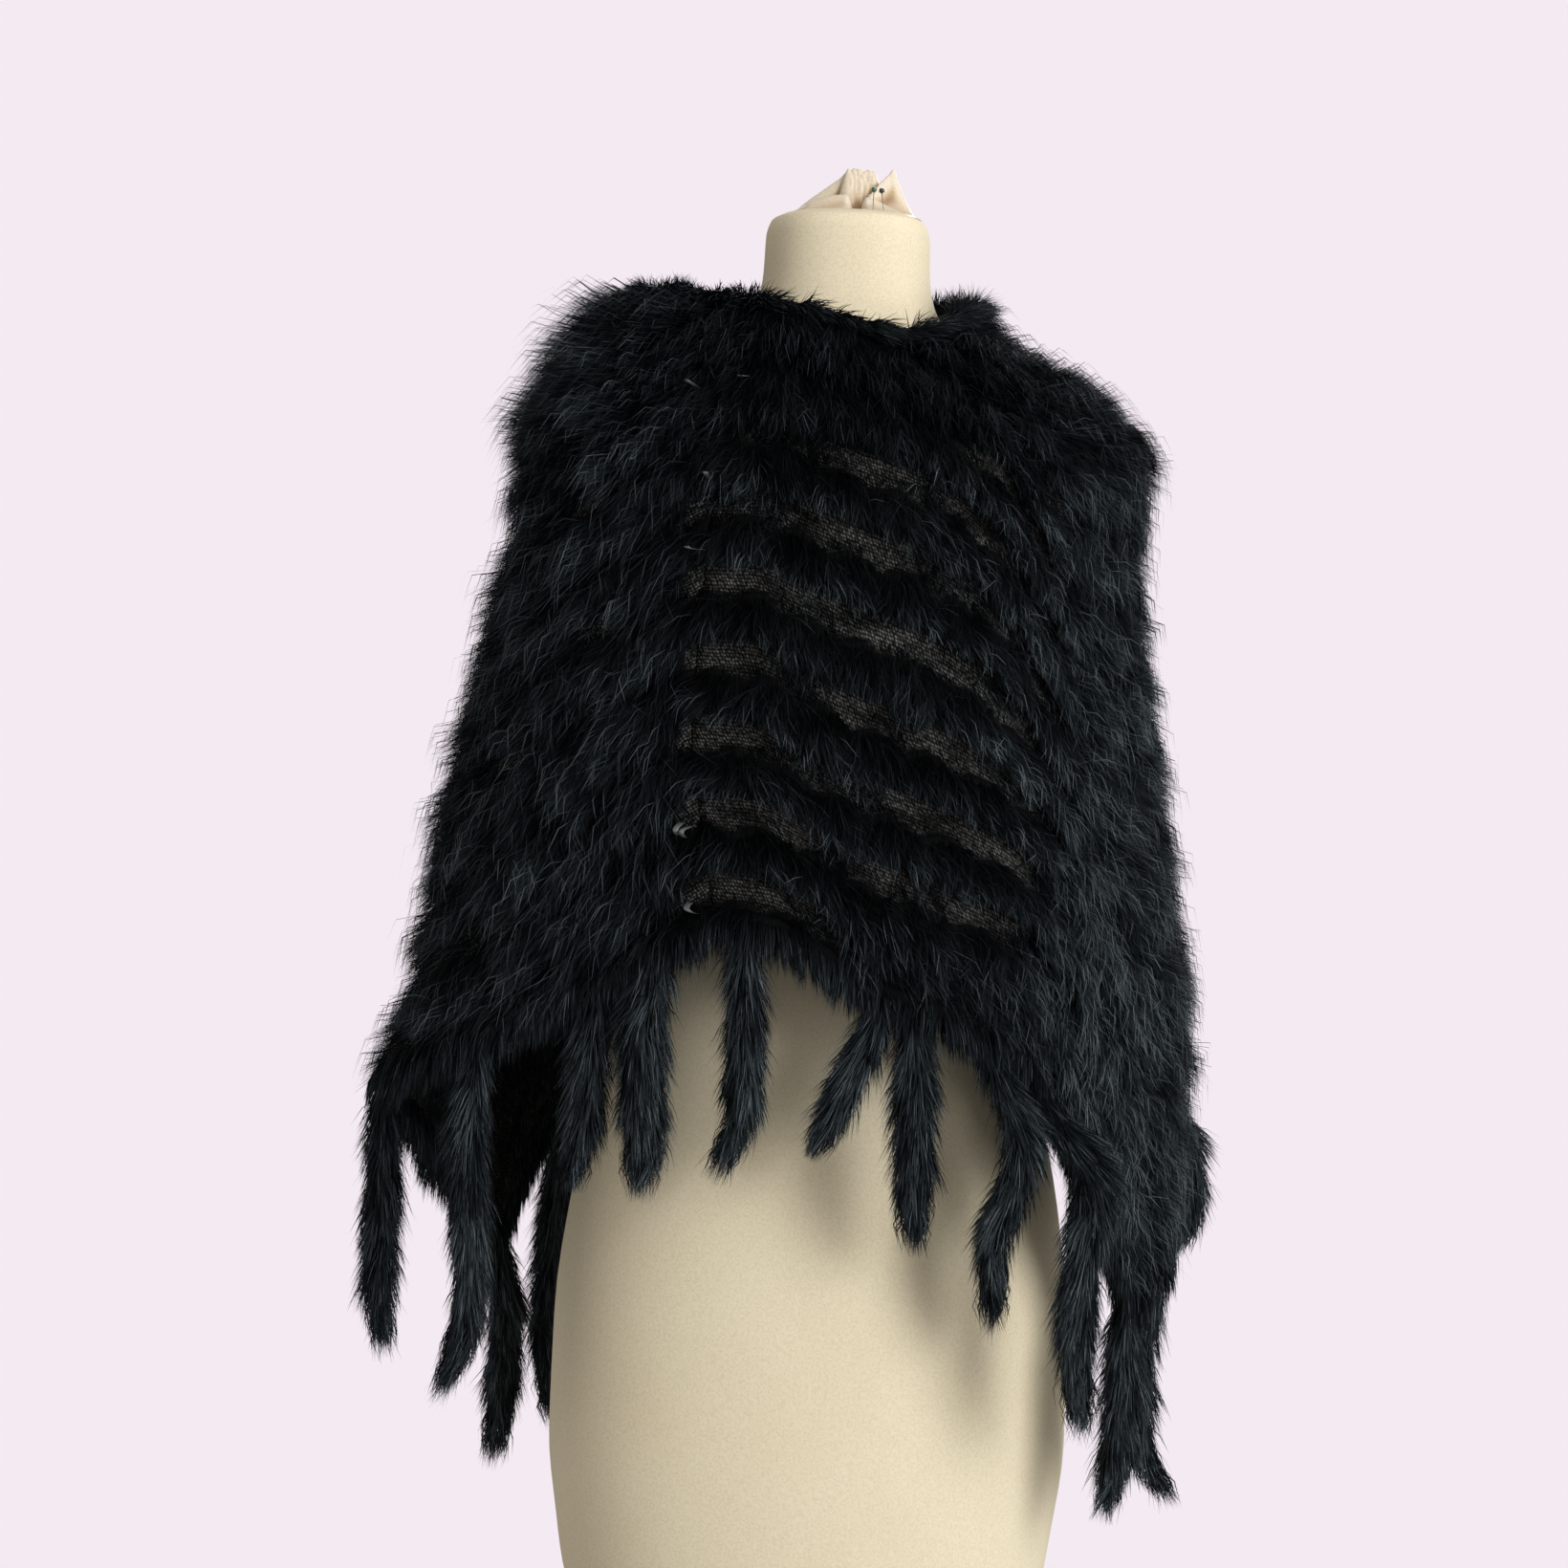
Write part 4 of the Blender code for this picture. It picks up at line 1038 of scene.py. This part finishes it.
def gathered_jersey(finish):
    """The form's jersey, drawn together on top of the neck."""
    top = FORM[-1].height
    rings = []
    creases = []
    for i in range(GATHER_RINGS):
        share = 1 - i / GATHER_RINGS
        ring = []
        for k in range(GATHER_SIDES):
            angle = math.tau * k / GATHER_SIDES
            x = GATHER_RADIUS * share * math.cos(angle) + 0.002
            y = GATHER_RADIUS * share * math.sin(angle) * GATHER_ROUNDNESS
            height = gather_height(x, y, share) if i else 0.0003
            ring.append((x, y, top + height))
            # Depth below the neighbours, for the painted shade in the creases
            nearby = [gather_height(x + dx, y + dy, share) for dx, dy in CREASE_PROBES]
            creases.append(sum(nearby) / len(nearby) - height)
        rings.append(ring)
    made = tube_object("neck_gather_jersey", [np.array(rings)], finish)
    store(made, "crease", np.clip(np.array(creases) / CREASE_DEPTH + 0.3, 0.0, 1.0))
    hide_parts("neck_gather")


def turned(profile_points, start, end, sides):
    """Rings of a body turned about the line from start to end: pairs of distance and radius."""
    axis = unit(np.array(end) - np.array(start))
    across = unit(np.cross(axis, [0.0, 1.0, 0.0]))
    cosines, sines = circle(sides)
    around_axis = across * cosines + np.cross(axis, across) * sines
    return np.array([np.array(start) + axis * at + radius * around_axis for at, radius in profile_points])


def pins(green_glass, black_glass, steel):
    """Each pin's round glass head, and its shaft down into the cloth."""
    angles = [math.pi * (i + 0.4) / PIN_STEPS for i in range(PIN_STEPS)]
    bead = [(-PIN_HEAD * math.cos(angle), PIN_HEAD * math.sin(angle)) for angle in angles]
    bead.append((PIN_HEAD * 1.12, PIN_SHAFT * 1.6))
    for number, pin in enumerate(PINS, 1):
        long = np.linalg.norm(np.array(pin.point) - np.array(pin.head))
        stations = (PIN_HEAD, long * 0.6, long * 0.95)
        shaft = [*((at, PIN_SHAFT) for at in stations), (long, PIN_SHAFT * 0.2)]
        glass = green_glass if pin.green else black_glass
        head = turned(bead, pin.head, pin.point, PIN_HEAD_SIDES)
        made = tube_object(f"pin_{number}_head", [head], glass)
        shaft = turned(shaft, pin.head, pin.point, PIN_SHAFT_SIDES)
        made = tube_object(f"pin_{number}_shaft", [shaft], steel)


def leather_nubs(panels, finish):
    """Curled ends of the fur strips' leather beside the front seam."""
    tubes = []
    surface = np.concatenate([p.inner.reshape(-1, 3) for p in panels])
    normals = np.concatenate([p.normal.reshape(-1, 3) for p in panels])
    cosines, sines = circle(NUB_SIDES)
    for nub in NUBS:
        score = (unit(surface * LEVEL) @ direction(nub.azimuth)) - np.abs(surface[:, 2] - nub.height) * 20
        k = int(np.argmax(score))
        normal = normals[k]
        across = unit(np.cross(UP, normal))
        rings = []
        for t in np.linspace(0.0, 1.0, NUB_RINGS):
            bend = nub.curl * t
            along = across * (nub.lean + math.sin(bend) * 0.6) - UP * math.cos(bend)
            off = KNIT_WALL - 0.0004 + NUB_RISE * math.sin(t * 2.6) + 0.001
            middle = surface[k] + along * nub.length * t + normal * off
            wide = NUB_WIDTH * (1 - 0.45 * t)
            rings.append(middle + across * wide * cosines + normal * NUB_THICKNESS * sines)
        tubes.append(np.array(rings))
    made = tube_object("seam_leather_ends", tubes, finish)


def new_material(name):
    made = bpy.data.materials.new(name)
    made.use_nodes = True
    tree = made.node_tree
    return made, tree, tree.nodes["Principled BSDF"]


def dressed(made, tree, shader, colour, values):
    """Gives a material's shader its colour and values for its other sockets."""
    feed(tree, shader.inputs["Base Color"], colour)
    for socket, value in values.items():
        feed(tree, shader.inputs[socket], value)
    return made


def feed(tree, socket, value):
    """Joins a socket to another node's socket, or gives it a plain value."""
    if isinstance(value, bpy.types.NodeSocket):
        tree.links.new(value, socket)
    else:
        socket.default_value = value


def add_node(tree, kind, **inputs):
    """A new node of a kind, with other sockets or plain values for its own."""
    node = tree.nodes.new("ShaderNode" + kind)
    for name, value in inputs.items():
        feed(tree, node.inputs[name], value)
    return node


def ramp(tree, source, *stops):
    """A colour ramp on a value; each stop is a place and a colour, or a number for a grey."""
    node = add_node(tree, "ValToRGB", Fac=source)
    elements = node.color_ramp.elements
    while len(elements) < len(stops):
        elements.new(0.5)
    for element, (place, colour) in zip(elements, stops):
        element.position = place
        element.color = (*colour, 1.0) if isinstance(colour, tuple) else (colour, colour, colour, 1.0)
    return node.outputs["Color"]


def noise_value(tree, place, scale, detail, **inputs):
    return add_node(tree, "TexNoise", Vector=place, Scale=scale, Detail=detail, **inputs).outputs["Fac"]


def object_place(tree):
    return tree.nodes.new("ShaderNodeTexCoord").outputs["Object"]


def attribute(tree, name, output):
    node = tree.nodes.new("ShaderNodeAttribute")
    node.attribute_name = name
    return node.outputs[output]


def vector_math(tree, operation, vector, factors, output):
    """A vector multiplied by factors, or its dot product with them."""
    node = tree.nodes.new("ShaderNodeVectorMath")
    node.operation = operation
    feed(tree, node.inputs[0], vector)
    feed(tree, node.inputs[1], factors)
    return node.outputs[output]


def bump(tree, shader, height, strength, distance):
    node = add_node(tree, "Bump", Strength=strength, Distance=distance, Height=height)
    feed(tree, shader.inputs["Normal"], node.outputs["Normal"])


def mixed(tree, share, first, second, blend="MIX"):
    """Two colour sockets mixed by a share, or blended in another way."""
    node = tree.nodes.new("ShaderNodeMix")
    node.data_type = "RGBA"
    node.blend_type = blend
    feed(tree, node.inputs["Factor"], share)
    tree.links.new(first, node.inputs[6])
    tree.links.new(second, node.inputs[7])
    return node.outputs[2]


def multiplied(tree, first, second):
    return mixed(tree, 1.0, first, second, "MULTIPLY")


def hair_material(name, low, high, roughness):
    """Glossy hair: painted shade darkens it toward its root, and the paler hairs turn cool grey toward the
    tip; the shine follows the tone, so the painted shade dims it too.
    """
    made, tree, shader = new_material(name)
    tone = attribute(tree, "tone", "Fac")
    patch = noise_value(tree, object_place(tree), 26.0, 3.0)
    colour = ramp(tree, tone, (0.0, (0.0014, 0.0017, 0.0019)), (0.22, low), (1.0, high))
    shade = ramp(tree, patch, (0.35, (0.62, 0.62, 0.65)), (0.65, 1.0))
    # Specular level follows the tone, so painted shade dims the shine as well as the colour
    shine = ramp(tree, tone, (0.0, 0.010), (0.25, 0.07), (1.0, 0.22))
    values = {"Roughness": roughness, "Specular IOR Level": shine}
    return dressed(made, tree, shader, multiplied(tree, colour, shade), values)


def pile_material(name):
    """The dense pile under the hairs, and in the valleys between the rows the knit it grows from."""
    made, tree, shader = new_material(name)
    cloth = attribute(tree, "cloth", "Vector")
    split = add_node(tree, "SeparateXYZ", Vector=cloth)
    shown = split.outputs["Z"]

    # Knit: loops in staggered rows, worn away in places
    across, along = (vector_math(tree, "DOT_PRODUCT", cloth, axis, "Value") for axis in STITCH_AXES)
    staggered = add_node(tree, "CombineXYZ", X=across, Y=along).outputs["Vector"]
    stitches = add_node(tree, "TexVoronoi", Vector=staggered, Scale=1.0, Randomness=0.40).outputs["Distance"]
    loop = ramp(tree, stitches, (0.10, (0.250, 0.245, 0.228)), (0.34, (0.060, 0.060, 0.058)), (0.60, 0.008))
    worn = noise_value(tree, vector_math(tree, "MULTIPLY", cloth, (26.0, 60.0, 0.0), "Vector"), 1.0, 2.0)
    yarn = multiplied(tree, loop, ramp(tree, worn, (0.38, 0.16), (0.66, 1.0)))

    # Pile: fine strands down the cloth
    strands = noise_value(tree, vector_math(tree, "MULTIPLY", cloth, (900.0, 70.0, 1.0), "Vector"), 1.0, 4.0)
    fur = ramp(tree, strands, (0.38, (0.0012, 0.0013, 0.0015)), (0.70, (0.0045, 0.0050, 0.0056)))
    loops = tree.nodes.new("ShaderNodeMath")
    loops.operation = "SUBTRACT"
    loops.inputs[0].default_value = 1.0
    feed(tree, loops.inputs[1], stitches)
    height = add_node(tree, "Mix", Factor=shown, A=strands, B=loops.outputs["Value"])
    bump(tree, shader, height.outputs["Result"], 0.7, 0.0015)
    values = {"Roughness": 0.72, "Specular IOR Level": 0.03}
    return dressed(made, tree, shader, mixed(tree, shown, fur, yarn), values)


def jersey_material(name, colour, shade, roughness, with_crease_shade):
    """Fine jersey: rows of tiny stitches, slight mottling, and painted shade darkening its creases where it
    has any.
    """
    made, tree, shader = new_material(name)
    place = object_place(tree)
    ribs = noise_value(tree, place, 620.0, 2.0, Roughness=0.7)
    base = ramp(tree, noise_value(tree, place, 9.0, 3.0), (0.3, shade), (0.7, colour))
    cloth = multiplied(tree, base, ramp(tree, ribs, (0.35, (0.90, 0.88, 0.85)), (0.6, 1.0)))
    if with_crease_shade:
        # Painted shade: darker and browner in the creases and the groove
        stops = ((0.10, 1.0), (0.45, (0.86, 0.78, 0.68)), (0.90, (0.46, 0.33, 0.22)))
        cloth = multiplied(tree, cloth, ramp(tree, attribute(tree, "crease", "Fac"), *stops))
    bump(tree, shader, ribs, 0.35, 0.0004)
    return dressed(made, tree, shader, cloth, {"Roughness": roughness})


def grained_material(name, grain, detail, dark, pale, values, relief=None):
    """A material in two shades of one fine grain, with values for the shader's own sockets."""
    made, tree, shader = new_material(name)
    spots = noise_value(tree, object_place(tree), grain, detail)
    if relief:
        bump(tree, shader, spots, *relief)
    return dressed(made, tree, shader, ramp(tree, spots, (0.3, dark), (0.7, pale)), values)


def backdrop():
    """A floor and a wide dome in one even pale colour, which light the object no further."""
    made = bpy.data.materials.new("backdrop_paper")
    made.use_nodes = True
    tree = made.node_tree
    tree.nodes.clear()
    glow = add_node(tree, "Emission", Color=BACKDROP)
    add_node(tree, "OutputMaterial", Surface=glow.outputs["Emission"])
    bpy.ops.mesh.primitive_circle_add(
        vertices=96, radius=STAGE_REACH, fill_type="NGON", location=(0, 0, -0.0005)
    )
    floor = bpy.context.object
    floor.name = "studio_floor"
    bpy.ops.mesh.primitive_uv_sphere_add(segments=64, ring_count=32, radius=STAGE_REACH)
    dome = bpy.context.object
    dome.name = "studio_dome"
    for stage in (floor, dome):
        stage.data.materials.append(made)
        stage.visible_diffuse = False
        stage.visible_glossy = False
        stage.visible_transmission = False
        stage.visible_shadow = False


def studio():
    """Plain air, the lamps and the backdrop."""
    scene = bpy.context.scene
    world = bpy.data.worlds.new("studio_air")
    scene.world = world
    world.use_nodes = True
    air = world.node_tree.nodes["Background"]
    air.inputs["Color"].default_value = (0.97, 0.93, 0.91, 1.0)
    air.inputs["Strength"].default_value = 0.37
    for lamp in LIGHTS:
        data = bpy.data.lights.new(lamp.name, "AREA")
        data.shape = "DISK"
        data.size = lamp.size
        data.energy = lamp.power
        data.color = lamp.colour
        made = bpy.data.objects.new(lamp.name, data)
        made.location = lamp.place
        made.rotation_mode = "QUATERNION"
        made.rotation_quaternion = (LIGHTS_AIM - Vector(lamp.place)).to_track_quat("-Z", "Y")
        scene.collection.objects.link(made)
    scene.view_settings.view_transform = "Standard"
    backdrop()


def camera():
    """The photograph's view, rolled as the photograph is."""
    data = bpy.data.cameras.new("photo_camera")
    data.sensor_width = SENSOR
    data.lens = SENSOR * -CAMERA_AT[1] / FIELD_WIDTH
    made = bpy.data.objects.new("photo_camera", data)
    cosine, sine = math.cos(CAMERA_ROLL), math.sin(CAMERA_ROLL)
    made.matrix_world = Matrix((
        (cosine, -sine, 0.0, CAMERA_AT[0]),
        (0.0, 0.0, -1.0, CAMERA_AT[1]),
        (sine, cosine, 0.0, CAMERA_AT[2]),
        (0.0, 0.0, 0.0, 1.0),
    ))
    bpy.context.scene.collection.objects.link(made)
    bpy.context.scene.camera = made


def dress():
    """Makes every piece that is seen."""
    form_node = frame["nodes"]["dress_form"].data
    form_tree = BVHTree.FromPolygons(
        [v.co for v in form_node.vertices], [p.vertices for p in form_node.polygons]
    )
    right = cloth_panel(SEAM_AZIMUTH, form_tree)
    left = cloth_panel(SEAM_AZIMUTH + HALF_TURN, form_tree)

    pile = pile_material("fur_pile_and_knit")
    hair = hair_material("fur_hair", (0.0170, 0.0225, 0.0258), (0.228, 0.285, 0.316), 0.50)
    # A lighter copy of the panel hair for the hem's edging and tails: painted light
    tail_hair = hair_material("tail_hair", (0.0350, 0.0460, 0.0525), (0.305, 0.378, 0.415), 0.48)
    jersey = jersey_material("cream_jersey_knit", (0.88, 0.790, 0.580), (0.84, 0.740, 0.530), 0.85, False)
    satin = jersey_material("gathered_jersey_satin", (0.86, 0.77, 0.62), (0.76, 0.63, 0.47), 0.28, True)
    polish = {"Roughness": 0.06, "Coat Weight": 1.0}
    green, black, steel, leather = (
        grained_material("pin_glass_green", 300.0, 2.0, (0.012, 0.060, 0.026), (0.040, 0.150, 0.075), polish),
        grained_material("pin_glass_black", 300.0, 2.0, (0.004, 0.004, 0.005), (0.014, 0.012, 0.015), polish),
        grained_material(
            "pin_steel_wire", 900.0, 2.0, (0.20, 0.20, 0.21), (0.32, 0.32, 0.33),
            {"Metallic": 1.0, "Roughness": 0.38},
        ),
        grained_material(
            "fur_leather_suede", 700.0, 5.0, (0.08, 0.083, 0.084), (0.20, 0.205, 0.205),
            {"Roughness": 0.8}, relief=(0.5, 0.0005),
        ),
    )

    dress_form(jersey)
    gathered_jersey(satin)
    pins(green, black, steel)
    leather_nubs((right, left), leather)
    half = COLUMNS // 2
    for side, cloth in (("right", right), ("left", left)):
        hem, hem_fur = hem_with_tails(cloth, f"hem_tails_{side}", pile, tail_hair)
        shell = panel_shell(cloth, f"panel_{side}_knit", pile)
        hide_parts(f"panel_{side}")
        fur = [
            panel_fur(cloth, 0, half + 1, f"panel_{side}_fur_first", hair),
            panel_fur(cloth, half, COLUMNS, f"panel_{side}_fur_second", hair),
            wrong_side_fur(cloth, f"panel_{side}_wrong_side_fur", hair),
        ]
    neck_roll((right, left), pile, hair)


for leftover in [o for o in bpy.data.objects if o.name in ("Cube", "Light", "Camera")]:
    bpy.data.objects.remove(leftover)
camera()
studio()
dress()
